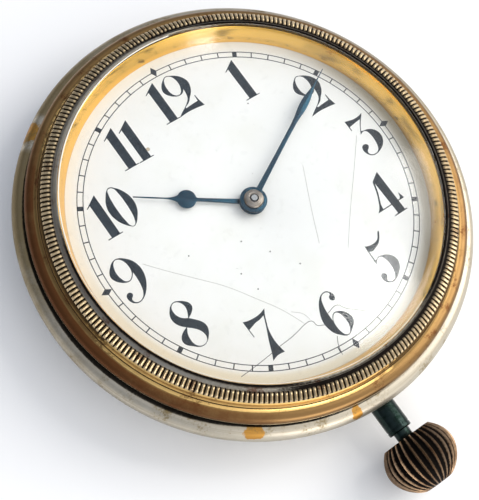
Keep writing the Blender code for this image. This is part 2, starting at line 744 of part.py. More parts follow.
def make_case_band():
    """The nickel middle of the case: threaded neck, rounded shoulder, leaning wall and movement ledge."""
    ledge_base = PLATE_TOP_Z - PLATE_FLANGE_THICKNESS - SEAT_GAP - BAND_LEDGE_THICKNESS
    bead_base = BAND_SHOULDER_Z - BAND_BEAD_HEIGHT
    profile = [(BAND_NECK_RADIUS, BAND_NECK_TOP_Z), (BAND_NECK_RADIUS, BAND_SHELF_Z)]
    for step in range(BAND_SHOULDER_ARCS + 1):
        angle = math.radians(90 - 90 * step / BAND_SHOULDER_ARCS)
        radius = BAND_SHELF_RADIUS + (BAND_RADIUS - BAND_SHELF_RADIUS) * math.cos(angle)
        height = BAND_SHOULDER_Z + (BAND_SHELF_Z - BAND_SHOULDER_Z) * math.sin(angle)
        profile.append((radius, height))
    profile += [
        (BAND_RADIUS, bead_base),
        (BAND_RADIUS - BAND_BEAD_STEP, bead_base - BAND_BEAD_STEP),
        (BAND_WALL_RADIUS, BAND_WALL_Z),
        (BAND_RIM_RADIUS, BAND_RIM_Z),
        (BAND_RIM_BORE, BAND_RIM_Z),
        (BAND_BELLY_BORE, ledge_base),
        (BAND_LEDGE_RADIUS, ledge_base),
        (BAND_LEDGE_RADIUS, ledge_base + BAND_LEDGE_THICKNESS),
        (BAND_NECK_BORE, ledge_base + BAND_LEDGE_THICKNESS),
        (BAND_NECK_BORE, BAND_NECK_TOP_Z),
    ]
    band = turned("case_band", profile, NICKEL, CASE_STEPS, closed=True)
    cut(band, stem_tunnel("sleeve_hole", SLEEVE_RADIUS + SEAT_GAP, BAND_NECK_BORE, SLEEVE_OUTER_END, POCKET_STEPS))
    for index, degrees in enumerate(CASE_SCREW_BEARINGS):
        top = ledge_base + BAND_LEDGE_THICKNESS + CUT_OVERRUN
        bottom = PLATE_TOP_Z - CASE_SCREW_LENGTH - SEAT_GAP
        at = polar(CASE_SCREW_CIRCLE, degrees)
        cut(band, drill(f"ledge_screw_hole_{index + 1}", SCREW_RADIUS + SEAT_GAP, top, bottom, at))
    return band


def make_back_cover():
    """The snap-on back: a shallow dish with a flat to lie on and a snap rim inside the band."""
    lip_z = BAND_RIM_Z - SEAT_GAP
    snap = BAND_RIM_BORE - 2 * SEAT_GAP
    snap_inner = snap - BACK_SNAP_WIDTH
    profile = [
        (0.0, BACK_THICKNESS),
        (BACK_REST_RADIUS, BACK_THICKNESS),
        (snap_inner, lip_z),
        (snap_inner, lip_z + BACK_SNAP_HEIGHT),
        (snap, lip_z + BACK_SNAP_HEIGHT),
        (snap, lip_z),
        (BAND_RIM_RADIUS, lip_z),
        (BAND_RIM_RADIUS - BACK_RIM_HEIGHT / 2, lip_z - BACK_RIM_HEIGHT),
        (BACK_BOWL_RADIUS, BACK_BOWL_RISE),
        (BACK_REST_RADIUS, 0.0),
        (0.0, 0.0),
    ]
    return turned("back_cover", profile, NICKEL, CASE_STEPS)


def bezel_bore_radius():
    """The bezel's bore above its thread, round the glass and the reflector ring."""
    return GLASS_RADIUS + BEZEL_BORE_PLAY


def glass_seat_z():
    """The height of the glass rim's upper face."""
    return RIDGE_INNER_Z + LIP_HEIGHT / 2


def ogee_points():
    """The bezel's cove over its ovolo, from the neck under the ridges down to the flange."""
    points = []
    for step in range(BEZEL_OGEE_ARCS + 1):
        angle = math.radians(90 * step / BEZEL_OGEE_ARCS)
        radius = BEZEL_WAIST_RADIUS - (BEZEL_WAIST_RADIUS - BEZEL_NECK_RADIUS) * math.cos(angle)
        points.append((radius, BEZEL_NECK_Z - (BEZEL_NECK_Z - BEZEL_WAIST_Z) * math.sin(angle)))
    flange_top = BEZEL_SKIRT_BASE_Z + BEZEL_FLANGE_EDGE
    for step in range(1, BEZEL_OGEE_ARCS + 1):
        angle = math.radians(90 * step / BEZEL_OGEE_ARCS)
        radius = BEZEL_WAIST_RADIUS + (BEZEL_FLANGE_RADIUS - BEZEL_WAIST_RADIUS) * math.sin(angle)
        points.append((radius, flange_top + (BEZEL_WAIST_Z - flange_top) * math.cos(angle)))
    return points


def spin_profile(work, profile, steps):
    """Turns an open profile in a mesh and gives back its first and last rings of vertices."""
    rings = []
    for radius, z in profile:
        rings.append([work.verts.new((*polar(radius, 360 * step / steps), z)) for step in range(steps)])
    for upper, lower in zip(rings, rings[1:]):
        for step in range(steps):
            following = (step + 1) % steps
            work.faces.new((upper[step], lower[step], lower[following], upper[following]))
    return rings[0], rings[-1]


def ridge_rings(work):
    """The milled ridges: a zigzag of crests and valleys from their inner to their outer edge."""
    pitch = 360 / RIDGE_COUNT
    slope_length = math.hypot(RIDGE_OUTER_RADIUS - RIDGE_INNER_RADIUS, RIDGE_INNER_Z - RIDGE_OUTER_Z)
    lean = (RIDGE_INNER_Z - RIDGE_OUTER_Z) / slope_length
    inset = RIDGE_HEIGHT * (RIDGE_OUTER_RADIUS - RIDGE_INNER_RADIUS) / slope_length
    inner = []
    outer = []
    for index in range(RIDGE_COUNT):
        valley = index * pitch
        crest = valley + pitch / 2
        inner.append(work.verts.new((*polar(RIDGE_INNER_RADIUS, valley), RIDGE_INNER_Z)))
        outer.append(work.verts.new((*polar(RIDGE_OUTER_RADIUS, valley), RIDGE_OUTER_Z)))
        crest_in = work.verts.new(
            (*polar(RIDGE_INNER_RADIUS + inset / 2 + RIDGE_HEIGHT * lean, crest), RIDGE_INNER_Z + inset / 2)
        )
        crest_out = work.verts.new(
            (*polar(RIDGE_OUTER_RADIUS - inset / 2 + RIDGE_HEIGHT * lean, crest), RIDGE_OUTER_Z + inset)
        )
        inner.append(crest_in)
        outer.append(crest_out)
    for index in range(RIDGE_COUNT):
        left = 2 * index
        top = left + 1
        right = (left + 2) % (2 * RIDGE_COUNT)
        work.faces.new((inner[left], outer[left], outer[top], inner[top]))
        work.faces.new((inner[top], outer[top], outer[right], inner[right]))
        work.faces.new((inner[left], inner[top], inner[right]))
        work.faces.new((outer[left], outer[right], outer[top]))
    return inner[::2], outer[::2]


def bridge_rings(work, coarse, fine):
    """Joins a coarse ring of vertices to a finer one that has a whole number of points for each step."""
    share = len(fine) // len(coarse)
    middle = share // 2
    for step, vertex in enumerate(coarse):
        following = coarse[(step + 1) % len(coarse)]
        first = step * share
        for index in range(middle):
            work.faces.new((vertex, fine[first + index], fine[first + index + 1]))
        work.faces.new((vertex, fine[first + middle], following))
        for index in range(middle, share):
            work.faces.new((following, fine[first + index], fine[(first + index + 1) % len(fine)]))


def make_milled_bezel():
    """The screwed bezel: flange, ovolo, cove, milled ridges and the lip that holds the glass."""
    work = bmesh.new()
    seat = glass_seat_z()
    lip_top = RIDGE_INNER_Z + LIP_HEIGHT + LIP_HEIGHT / 2
    above = [
        (bezel_bore_radius(), BAND_NECK_TOP_Z + SEAT_GAP),
        (bezel_bore_radius(), seat),
        (LIP_INNER_RADIUS, seat),
        (LIP_INNER_RADIUS, lip_top),
        (LIP_OUTER_RADIUS, lip_top),
        (RIDGE_INNER_RADIUS - RIDGE_SKIRT, RIDGE_INNER_Z),
    ]
    below = [(RIDGE_OUTER_RADIUS - RIDGE_SKIRT, RIDGE_OUTER_Z - RIDGE_SKIRT), *ogee_points()]
    below += [
        (BEZEL_FLANGE_RADIUS, BEZEL_SKIRT_BASE_Z),
        (BEZEL_THREAD_RADIUS, BEZEL_SKIRT_BASE_Z),
        (BEZEL_THREAD_RADIUS, BAND_NECK_TOP_Z + SEAT_GAP),
    ]
    first_above, last_above = spin_profile(work, above, CASE_STEPS)
    first_below, last_below = spin_profile(work, below, CASE_STEPS)
    ridge_inner, ridge_outer = ridge_rings(work)
    bridge_rings(work, last_above, ridge_inner)
    bridge_rings(work, first_below, ridge_outer)
    for step in range(CASE_STEPS):
        following = (step + 1) % CASE_STEPS
        work.faces.new((last_below[step], first_above[step], first_above[following], last_below[following]))
    bmesh.ops.recalc_face_normals(work, faces=work.faces)
    mesh = bpy.data.meshes.new("milled_bezel")
    work.to_mesh(mesh)
    work.free()
    return add_piece("milled_bezel", mesh, BRASS)


def dome_points(top, radius, rise, reverse=False):
    """Points of a shallow dome from its middle to its edge, leaving out the middle."""
    sphere = (radius ** 2 + rise ** 2) / (2 * rise)
    points = []
    for step in range(1, GLASS_DOME_ARCS + 1):
        reach = radius * step / GLASS_DOME_ARCS
        points.append((reach, top - sphere + math.sqrt(sphere ** 2 - reach ** 2)))
    return points[::-1] if reverse else points


def make_watch_glass():
    """The domed glass with a thin rim under the bezel's lip."""
    rim_top = glass_seat_z() - SEAT_GAP
    crown_z = rim_top + GLASS_SHOULDER_RISE + GLASS_DOME_RISE
    inner_rise = crown_z - GLASS_THICKNESS - (rim_top - GLASS_RIM_THICKNESS)
    profile = [(0.0, crown_z), *dome_points(crown_z, GLASS_STEP_RADIUS, GLASS_DOME_RISE)]
    profile += [
        (GLASS_STEP_RADIUS, rim_top),
        (GLASS_RADIUS, rim_top),
        (GLASS_RADIUS, rim_top - GLASS_RIM_THICKNESS),
        *dome_points(crown_z - GLASS_THICKNESS, GLASS_INNER_RADIUS, inner_rise, reverse=True),
        (0.0, crown_z - GLASS_THICKNESS),
    ]
    return turned("watch_glass", profile, GLASS, PLATE_STEPS)


def make_reflector_ring():
    """The gilt cone that fills the space between the dial's edge and the glass."""
    foot_z = DIAL_FACE_Z + SEAT_GAP
    profile = [
        (REFLECTOR_OUTER_RADIUS, foot_z + REFLECTOR_HEIGHT),
        (DIAL_FACE_EDGE_RADIUS + REFLECTOR_FOOT_WIDTH, foot_z),
        (DIAL_FACE_EDGE_RADIUS, foot_z),
        (REFLECTOR_TOP_RADIUS, foot_z + REFLECTOR_HEIGHT),
    ]
    return turned("reflector_ring", profile, GILT, CASE_STEPS, closed=True)


def make_dial():
    """The enamelled dial: a disc with a rounded edge, a centre hole and two feet."""
    base = DIAL_FACE_Z - DIAL_THICKNESS
    profile = [
        (DIAL_RADIUS - DIAL_EDGE_ROUNDING, DIAL_FACE_Z),
        (DIAL_RADIUS, DIAL_FACE_Z - DIAL_EDGE_ROUNDING),
        (DIAL_RADIUS, base),
        (DIAL_HOLE_RADIUS, base),
        (DIAL_HOLE_RADIUS, DIAL_FACE_Z),
    ]
    dial = turned("dial", profile, ENAMEL, PLATE_STEPS, closed=True)
    for index, degrees in enumerate(DIAL_FOOT_BEARINGS):
        at = polar(DIAL_FOOT_CIRCLE, degrees)
        root = base + DIAL_THICKNESS / 2
        join(dial, drill(f"dial_foot_{index + 1}", DIAL_FOOT_RADIUS, root, base - DIAL_FOOT_LENGTH, at))
    return dial


# Stem and crown

def make_stem_sleeve():
    """The dark tube that guides the stem out of the case."""
    profile = ring_profile(SLEEVE_RADIUS, SLEEVE_BORE, SLEEVE_OUTER_END, SLEEVE_INNER_END)
    return on_stem_axis(turned("stem_sleeve", profile, DARK_STEEL, POCKET_STEPS, closed=True))


def make_winding_stem():
    """The stem: inner pilot, body for the pinions, groove for the setting lever and the dark outer neck."""
    profile = shaft_profile([
        (STEM_BODY_RADIUS, CROWN_INNER_AT + CROWN_BORE_DEPTH - SEAT_GAP - STEM_BODY_RADIUS, CROWN_INNER_AT),
        (NECK_RADIUS, CROWN_INNER_AT - SEAT_GAP, STEM_NECK_AT),
        (STEM_BODY_RADIUS, STEM_NECK_AT, STEM_GROOVE_AT + STEM_GROOVE_WIDTH / 2),
        (STEM_GROOVE_RADIUS, STEM_GROOVE_AT + STEM_GROOVE_WIDTH / 2, STEM_GROOVE_AT - STEM_GROOVE_WIDTH / 2),
        (STEM_BODY_RADIUS, STEM_GROOVE_AT - STEM_GROOVE_WIDTH / 2, STEM_SHOULDER_AT),
        (STEM_PILOT_RADIUS, STEM_SHOULDER_AT, STEM_PILOT_END),
    ])
    return on_stem_axis(turned("winding_stem", profile, DARK_STEEL))


def crown_radius_at(share):
    """The crown's radius at a share of its length from its rounded end to the flat cut one."""
    swell = math.sin(math.pi * (1 - CROWN_CUT_SHARE) * share) ** CROWN_ROUNDNESS_SHARE
    return CROWN_FACE_RADIUS + (CROWN_RADIUS - CROWN_FACE_RADIUS) * swell


def make_crown():
    """The fluted onion crown: a spun body whose valleys are drawn in, with a bore for the stem."""
    work = bmesh.new()
    columns = 2 * CROWN_FLUTES
    rings = []
    for station in range(CROWN_STATIONS + 1):
        share = (1 - math.cos(math.pi * station / CROWN_STATIONS)) / 2
        crest = crown_radius_at(share)
        valley = crest - CROWN_FLUTE_DEPTH * (crest / CROWN_RADIUS)
        z = CROWN_INNER_AT + CROWN_LENGTH * (1 - share)
        ring = [
            work.verts.new((*polar(valley if column % 2 else crest, 360 * column / columns), z))
            for column in range(columns)
        ]
        rings.append(ring)
    for upper, lower in zip(rings, rings[1:]):
        for column in range(columns):
            following = (column + 1) % columns
            work.faces.new((upper[column], lower[column], lower[following], upper[following]))
    work.faces.new(rings[0])
    work.faces.new(rings[-1][::-1])
    bmesh.ops.recalc_face_normals(work, faces=work.faces)
    mesh = bpy.data.meshes.new("crown")
    work.to_mesh(mesh)
    work.free()
    crown = on_stem_axis(add_piece("crown", mesh, BRONZE))
    floor = CROWN_INNER_AT + CROWN_BORE_DEPTH
    return cut(crown, stem_tunnel("crown_bore", CROWN_BORE_RADIUS, CROWN_INNER_AT - CUT_OVERRUN, floor))


# Hands

def hand_half(points):
    """Mirrors the upper half of a hand's outline, given from its tail to its tip, along +X."""
    return points + [(x, -y) for x, y in points[::-1] if y > 0]


def boss_arc(radius, neck_width, steps=9):
    """The upper half of a hand's boss, from behind the pivot to where the stalk starts."""
    meet = math.degrees(math.asin(neck_width / 2 / radius))
    return arc(radius, 180 - 180 / steps / 2, meet, steps)


def turn_hand(piece, degrees):
    """Points a hand along its bearing."""
    piece.rotation_euler = (0.0, 0.0, math.radians(degrees))
    return piece


def make_hour_hand():
    """The hour hand: boss, tapered stalk, round disc and fine needle."""
    upper = boss_arc(HOUR_BOSS_RADIUS, HOUR_STALK_WIDTH)
    enter = math.degrees(math.asin(HOUR_STALK_END_WIDTH / 2 / HOUR_DISC_RADIUS))
    leave = math.degrees(math.asin(HOUR_NEEDLE_WIDTH / HOUR_DISC_RADIUS))
    upper += arc(HOUR_DISC_RADIUS, 180 - enter, leave, 10, (HOUR_DISC_AT, 0.0))
    upper += [(HOUR_NEEDLE_ROOT_AT, HOUR_NEEDLE_WIDTH / 2), (HOUR_HAND_LENGTH, HOUR_NEEDLE_WIDTH / 4)]
    bore = circle(HOUR_PIPE_RADIUS + RUN_PLAY)
    hand = flat("hour_hand", [hand_half(upper), bore], HOUR_HAND_Z, HOUR_HAND_Z + HAND_THICKNESS, BLUED)
    return turn_hand(hand, HOUR_HAND_BEARING)


def make_minute_hand():
    """The minute hand: round boss, waisted stalk, leaf and needle."""
    upper = boss_arc(MINUTE_BOSS_RADIUS, MINUTE_STALK_WIDTH)
    upper += [
        (MINUTE_WAIST_AT, MINUTE_WAIST_WIDTH / 2),
        (MINUTE_LEAF_ROOT_AT, MINUTE_WAIST_WIDTH / 2 + HAND_THICKNESS / 4),
        ((MINUTE_LEAF_ROOT_AT + MINUTE_LEAF_AT) / 2, MINUTE_LEAF_WIDTH / 2 - HAND_THICKNESS / 2),
        (MINUTE_LEAF_AT, MINUTE_LEAF_WIDTH / 2),
        ((MINUTE_LEAF_AT + MINUTE_LEAF_END_AT) / 2, MINUTE_LEAF_WIDTH / 2 - HAND_THICKNESS),
        (MINUTE_LEAF_END_AT, MINUTE_NEEDLE_WIDTH / 2),
        (MINUTE_HAND_LENGTH, MINUTE_NEEDLE_WIDTH / 4),
    ]
    bore = circle(CANNON_RADIUS + SEAT_GAP)
    hand = flat("minute_hand", [hand_half(upper), bore], MINUTE_HAND_Z, MINUTE_HAND_Z + HAND_THICKNESS, BLUED)
    return turn_hand(hand, MINUTE_HAND_BEARING)


# Motion work under the dial

MOTION_WHEEL_Z = PLATE_TOP_Z + MOTION_GAP
CANNON_START = 0.0
MINUTE_WHEEL_START = meshed_start(CANNON_LEAVES, CANNON_START, bearing(CENTRE, MINUTE_POST), MINUTE_WHEEL_TEETH)


def make_cannon_pinion():
    """The cannon pinion: leaves at its foot, a pipe for the minute hand and a domed cap on top."""
    cap_base = MINUTE_HAND_Z + HAND_THICKNESS + SEAT_GAP
    leaves_top = MOTION_WHEEL_Z + MOTION_WHEEL_THICKNESS + MOTION_GAP
    profile = [(CANNON_BORE, cap_base + CAP_HEIGHT)]
    for step in range(CAP_ARCS + 1):
        angle = math.radians(90 * step / CAP_ARCS)
        radius = CANNON_BORE + (CAP_RADIUS - CANNON_BORE) * math.sin(angle)
        if step:
            profile.append((radius, cap_base + CAP_HEIGHT / 3 + CAP_HEIGHT * math.cos(angle) * 2 / 3))
    profile += [
        (CAP_RADIUS, cap_base),
        (CANNON_RADIUS, cap_base),
        (CANNON_RADIUS, MOTION_WHEEL_Z - MOTION_GAP / 2),
        (CANNON_BORE, MOTION_WHEEL_Z - MOTION_GAP / 2),
    ]
    pinion = turned("cannon_pinion", profile, GREY_CAP, closed=True)
    outline = gear_outline(CANNON_LEAVES, MOTION_MODULE, CANNON_START, leaves=True)
    bore = circle(CANNON_BORE + SEAT_GAP)
    return join(pinion, flat("cannon_leaves", [outline, bore], MOTION_WHEEL_Z, leaves_top, None))


def make_minute_wheel():
    """The minute wheel with its pinion, turning on a post of the main plate."""
    top = MOTION_WHEEL_Z + MOTION_WHEEL_THICKNESS
    outline = gear_outline(MINUTE_WHEEL_TEETH, MOTION_MODULE, MINUTE_WHEEL_START)
    bore = circle(MINUTE_POST_RADIUS + PIVOT_PLAY, steps=SCREW_STEPS)
    wheel = flat("minute_wheel", [outline, bore], MOTION_WHEEL_Z, top, BRASS, MINUTE_POST)
    leaves = gear_outline(MINUTE_LEAVES, HOUR_MODULE, bearing(MINUTE_POST, CENTRE), leaves=True)
    tall = top + MOTION_WHEEL_THICKNESS + 2 * MOTION_GAP
    pinion = flat("minute_pinion", [leaves, bore], top - MOTION_WHEEL_THICKNESS / 4, tall, None, MINUTE_POST)
    return join(wheel, pinion)


def make_hour_wheel():
    """The hour wheel: a thin wheel on a pipe that carries the hour hand through the dial."""
    base = MOTION_WHEEL_Z + MOTION_WHEEL_THICKNESS + 2 * MOTION_GAP
    top = base + MOTION_WHEEL_THICKNESS - MOTION_GAP
    start = meshed_start(MINUTE_LEAVES, bearing(MINUTE_POST, CENTRE), bearing(MINUTE_POST, CENTRE), HOUR_WHEEL_TEETH)
    outline = gear_outline(HOUR_WHEEL_TEETH, HOUR_MODULE, start)
    bore = circle(CANNON_RADIUS + PIVOT_PLAY)
    wheel = flat("hour_wheel", [outline, bore], base, top, BRASS)
    pipe_top = HOUR_HAND_Z + HAND_THICKNESS
    profile = ring_profile(HOUR_PIPE_RADIUS, CANNON_RADIUS + PIVOT_PLAY, pipe_top, base + MOTION_WHEEL_THICKNESS / 4)
    return join(wheel, turned("hour_pipe", profile, None, closed=True))


def make_setting_wheel():
    """The wheel that the sliding pinion turns when the crown is pulled."""
    outline = gear_outline(SETTING_WHEEL_TEETH, SETTING_MODULE, 90.0)
    bore = circle(SETTING_ARBOR_RADIUS + SEAT_GAP)
    top = SETTING_WHEEL_Z + SETTING_WHEEL_THICKNESS
    return flat("setting_wheel", [outline, bore], SETTING_WHEEL_Z, top, STEEL, SETTING)


def make_setting_pinion():
    """The arbor that carries the setting wheel below the plate and its pinion above it."""
    top = MOTION_WHEEL_Z + MOTION_WHEEL_THICKNESS
    profile = shaft_profile([
        (SETTING_ARBOR_RADIUS, top, SETTING_WHEEL_Z - MOTION_GAP),
        (PIVOT_RADIUS, SETTING_WHEEL_Z - MOTION_GAP, BRIDGE_TOP_Z - PIVOT_DEPTH),
    ])
    arbor = turned("setting_pinion", profile, STEEL, centre=SETTING)
    line = bearing(MINUTE_POST, SETTING)
    start = meshed_start(MINUTE_WHEEL_TEETH, MINUTE_WHEEL_START, line, SETTING_PINION_LEAVES)
    leaves = gear_outline(SETTING_PINION_LEAVES, MOTION_MODULE, start, leaves=True)
    return join(arbor, flat("setting_leaves", [leaves], MOTION_WHEEL_Z, top - MOTION_GAP / 4, None, SETTING))


# Going train

def make_train_wheel(name, teeth, module, start, base, thickness, bore_radius, centre):
    """A crossed-out brass wheel."""
    root = teeth * module / 2 - WHEEL_DEDENDUM_SHARE * module
    outlines = [gear_outline(teeth, module, start), *crossing_outlines(root, start)]
    outlines.append(circle(bore_radius + SEAT_GAP))
    return flat(name, outlines, base, base + thickness, BRASS, centre)


def make_pinion(name, leaves, module, start, leaf_span, arbor_radius, ends, centre):
    """A steel arbor with pinion leaves and a fine pivot at each end."""
    top, bottom = ends
    profile = shaft_profile([
        (PIVOT_RADIUS, top + PIVOT_DEPTH, top),
        (arbor_radius, top, bottom),
        (PIVOT_RADIUS, bottom, bottom - PIVOT_DEPTH),
    ])
    arbor = turned(name, profile, STEEL, ARBOR_STEPS, centre=centre)
    outline = gear_outline(leaves, module, start, leaves=True)
    return join(arbor, flat(f"{name}_leaves", [outline], leaf_span[0], leaf_span[1], None, centre))


TRAIN_ENDS = (POCKET_ROOF_Z - SEAT_GAP, BRIDGE_TOP_Z + SEAT_GAP)
BARREL_START = BARREL_BEARING
INTERMEDIATE_START = bearing(INTERMEDIATE, CENTRE)
CENTRE_WHEEL_START = THIRD_BEARING
THIRD_WHEEL_START = FOURTH_BEARING
FOURTH_WHEEL_START = ESCAPE_BEARING


def make_intermediate():
    """The intermediate wheel and the pinion that the barrel drives."""
    wheel_top = INTERMEDIATE_WHEEL_Z + INTERMEDIATE_WHEEL_THICKNESS
    start = meshed_start(BARREL_TEETH, BARREL_START, bearing(BARREL, INTERMEDIATE), INTERMEDIATE_LEAVES)
    leaf_span = (BARREL_TOP_Z - BARREL_TEETH_HEIGHT - PINION_MARGIN, INTERMEDIATE_WHEEL_Z - SEAT_GAP)
    ends = (TRAIN_ENDS[0], BARREL_BRIDGE_RECESS_Z + SEAT_GAP)
    make_pinion(
        "intermediate_pinion", INTERMEDIATE_LEAVES, BARREL_MODULE, start, leaf_span,
        CENTRE_ARBOR_RADIUS, ends, INTERMEDIATE,
    )
    make_train_wheel(
        "intermediate_wheel", INTERMEDIATE_TEETH, INTERMEDIATE_MODULE, INTERMEDIATE_START, INTERMEDIATE_WHEEL_Z,
        wheel_top - INTERMEDIATE_WHEEL_Z, CENTRE_ARBOR_RADIUS, INTERMEDIATE,
    )


def make_centre():
    """The centre wheel and its long arbor, whose tip shows in the cap between the hands."""
    start = meshed_start(INTERMEDIATE_TEETH, INTERMEDIATE_START, bearing(INTERMEDIATE, CENTRE), CENTRE_LEAVES)
    cap_top = MINUTE_HAND_Z + HAND_THICKNESS + SEAT_GAP + CAP_HEIGHT
    profile = shaft_profile([
        (CENTRE_ARBOR_RADIUS - SEAT_GAP, cap_top + SEAT_GAP, MOTION_WHEEL_Z),
        (CENTRE_ARBOR_RADIUS, MOTION_WHEEL_Z, TRAIN_ENDS[1]),
        (PIVOT_RADIUS, TRAIN_ENDS[1], TRAIN_ENDS[1] - PIVOT_DEPTH),
    ])
    arbor = turned("centre_arbor", profile, STEEL)
    outline = gear_outline(CENTRE_LEAVES, INTERMEDIATE_MODULE, start, leaves=True)
    leaf_base = CENTRE_WHEEL_Z + TRAIN_WHEEL_THICKNESS + SEAT_GAP
    leaf_top = POCKET_ROOF_Z - PINION_MARGIN
    join(arbor, flat("centre_leaves", [outline], leaf_base, leaf_top, None))
    make_train_wheel(
        "centre_wheel", CENTRE_TEETH, CENTRE_MODULE, CENTRE_WHEEL_START, CENTRE_WHEEL_Z,
        TRAIN_WHEEL_THICKNESS, CENTRE_ARBOR_RADIUS, CENTRE,
    )


def make_train_pair(name, leaves, leaf_module, mate_teeth, mate_start, line, mate_z, teeth, module, start, z, at):
    """A wheel and pinion of the train, driven by the wheel before them."""
    pinion_start = meshed_start(mate_teeth, mate_start, line, leaves)
    span = (mate_z - PINION_MARGIN, mate_z + TRAIN_WHEEL_THICKNESS + PINION_MARGIN)
    make_pinion(f"{name}_pinion", leaves, leaf_module, pinion_start, span, TRAIN_ARBOR_RADIUS, TRAIN_ENDS, at)
    make_train_wheel(
        f"{name}_wheel", teeth, module, start, z, TRAIN_WHEEL_THICKNESS, TRAIN_ARBOR_RADIUS, at,
    )


def make_third_and_fourth():
    """The third wheel and the fourth, which turns once a minute."""
    make_train_pair(
        "third", THIRD_LEAVES, CENTRE_MODULE, CENTRE_TEETH, CENTRE_WHEEL_START, THIRD_BEARING, CENTRE_WHEEL_Z,
        THIRD_TEETH, THIRD_MODULE, THIRD_WHEEL_START, THIRD_WHEEL_Z, THIRD,
    )
    make_train_pair(
        "fourth", FOURTH_LEAVES, THIRD_MODULE, THIRD_TEETH, THIRD_WHEEL_START, FOURTH_BEARING, THIRD_WHEEL_Z,
        FOURTH_TEETH, FOURTH_MODULE, FOURTH_WHEEL_START, FOURTH_WHEEL_Z, FOURTH,
    )


ESCAPE_TOOTH_SHARES = ((0.78, -0.4), (0.97, -0.1), (1.0, 0.06), (0.78, 0.04))


def make_escape():
    """The club-toothed escape wheel and its pinion."""
    start = meshed_start(FOURTH_TEETH, FOURTH_WHEEL_START, ESCAPE_BEARING, ESCAPE_LEAVES)
    span = (FOURTH_WHEEL_Z - PINION_MARGIN / 2, FOURTH_WHEEL_Z + TRAIN_WHEEL_THICKNESS + PINION_MARGIN)
    make_pinion(
        "escape_pinion", ESCAPE_LEAVES, FOURTH_MODULE, start, span, TRAIN_ARBOR_RADIUS, TRAIN_ENDS, ESCAPE,
    )
    pitch = 360 / ESCAPE_TEETH
    outline = [
        polar(ESCAPE_RADIUS * reach_share, (tooth + turn_share) * pitch)
        for tooth in range(ESCAPE_TEETH)
        for reach_share, turn_share in ESCAPE_TOOTH_SHARES
    ]
    root = ESCAPE_RADIUS * ESCAPE_TOOTH_SHARES[-1][0]
    outlines = [outline, *crossing_outlines(root, 0.0), circle(TRAIN_ARBOR_RADIUS + SEAT_GAP, steps=SCREW_STEPS)]
    top = ESCAPE_WHEEL_Z + ESCAPE_WHEEL_THICKNESS
    flat("escape_wheel", outlines, ESCAPE_WHEEL_Z, top, STEEL, ESCAPE)


# Barrel

def make_barrel_drum():
    """The going barrel: floor with the great wheel's teeth and a wall round the mainspring."""
    floor_z = BARREL_TOP_Z - BARREL_FLOOR
    teeth_base = BARREL_TOP_Z - BARREL_TEETH_HEIGHT
    inner = BARREL_DRUM_RADIUS - BARREL_WALL
    outline = gear_outline(BARREL_TEETH, BARREL_MODULE, BARREL_START)
    bore = circle(ARBOR_RADIUS + RUN_PLAY, steps=POCKET_STEPS)
    drum = flat("barrel_drum", [outline, bore], teeth_base, BARREL_TOP_Z, BRASS, BARREL)
    wall_top = teeth_base + CUT_OVERRUN
    join(drum, drill("barrel_wall", BARREL_DRUM_RADIUS, wall_top, BARREL_BASE_Z, BARREL, WHEEL_STEPS))
    cavity_base = BARREL_BASE_Z - CUT_OVERRUN
    cut(drum, drill("barrel_cavity", inner, floor_z, cavity_base, BARREL, WHEEL_STEPS))
    return drum, inner, BARREL_BASE_Z + BARREL_COVER_THICKNESS, floor_z


def make_barrel():
    """The barrel with its cover, arbor and mainspring."""
    drum, inner, cover_top, floor_z = make_barrel_drum()
    cover = ring_profile(inner - SEAT_GAP * 2, ARBOR_RADIUS + RUN_PLAY, cover_top, BARREL_BASE_Z)
    turned("barrel_cover", cover, BRASS, WHEEL_STEPS, closed=True, centre=BARREL)
    square_half = ARBOR_RADIUS * ARBOR_SQUARE_SHARE
    hub_top = floor_z - SEAT_GAP
    hub_base = cover_top + SEAT_GAP
    arbor = turned(
        "barrel_arbor",
        shaft_profile([
            (SCREW_RADIUS, POCKET_ROOF_Z + PIVOT_DEPTH, POCKET_ROOF_Z - SEAT_GAP),
            (ARBOR_RADIUS, POCKET_ROOF_Z - SEAT_GAP, hub_top),
            (ARBOR_HUB_RADIUS, hub_top, hub_base),
            (ARBOR_RADIUS, hub_base, WINDING_WHEEL_TOP_Z + SEAT_GAP),
        ]),
        STEEL, POCKET_STEPS, centre=BARREL,
    )
    square = [(square_half, square_half), (-square_half, square_half)]
    square += [(-x, -y) for x, y in square]
    join(arbor, flat("arbor_square", [square], WINDING_WHEEL_BASE_Z, BARREL_BASE_Z, None, BARREL))
    cut(arbor, drill("arbor_thread", SCREW_RADIUS + SEAT_GAP, WINDING_WHEEL_TOP_Z, CUT_OVERRUN, BARREL))
    first = ARBOR_HUB_RADIUS + SPRING_PLAY + SPRING_THICKNESS / 2
    last = inner - SPRING_PLAY - SPRING_THICKNESS / 2
    strip = strip_outline(first, last, SPRING_TURNS, SPRING_POINTS, SPRING_THICKNESS, 0.0, CENTRE)
    flat("mainspring", [strip], hub_base + SEAT_GAP, hub_top - SEAT_GAP, STEEL, BARREL)
    return drum


RATCHET_START = bearing(BARREL, CROWN_WHEEL)


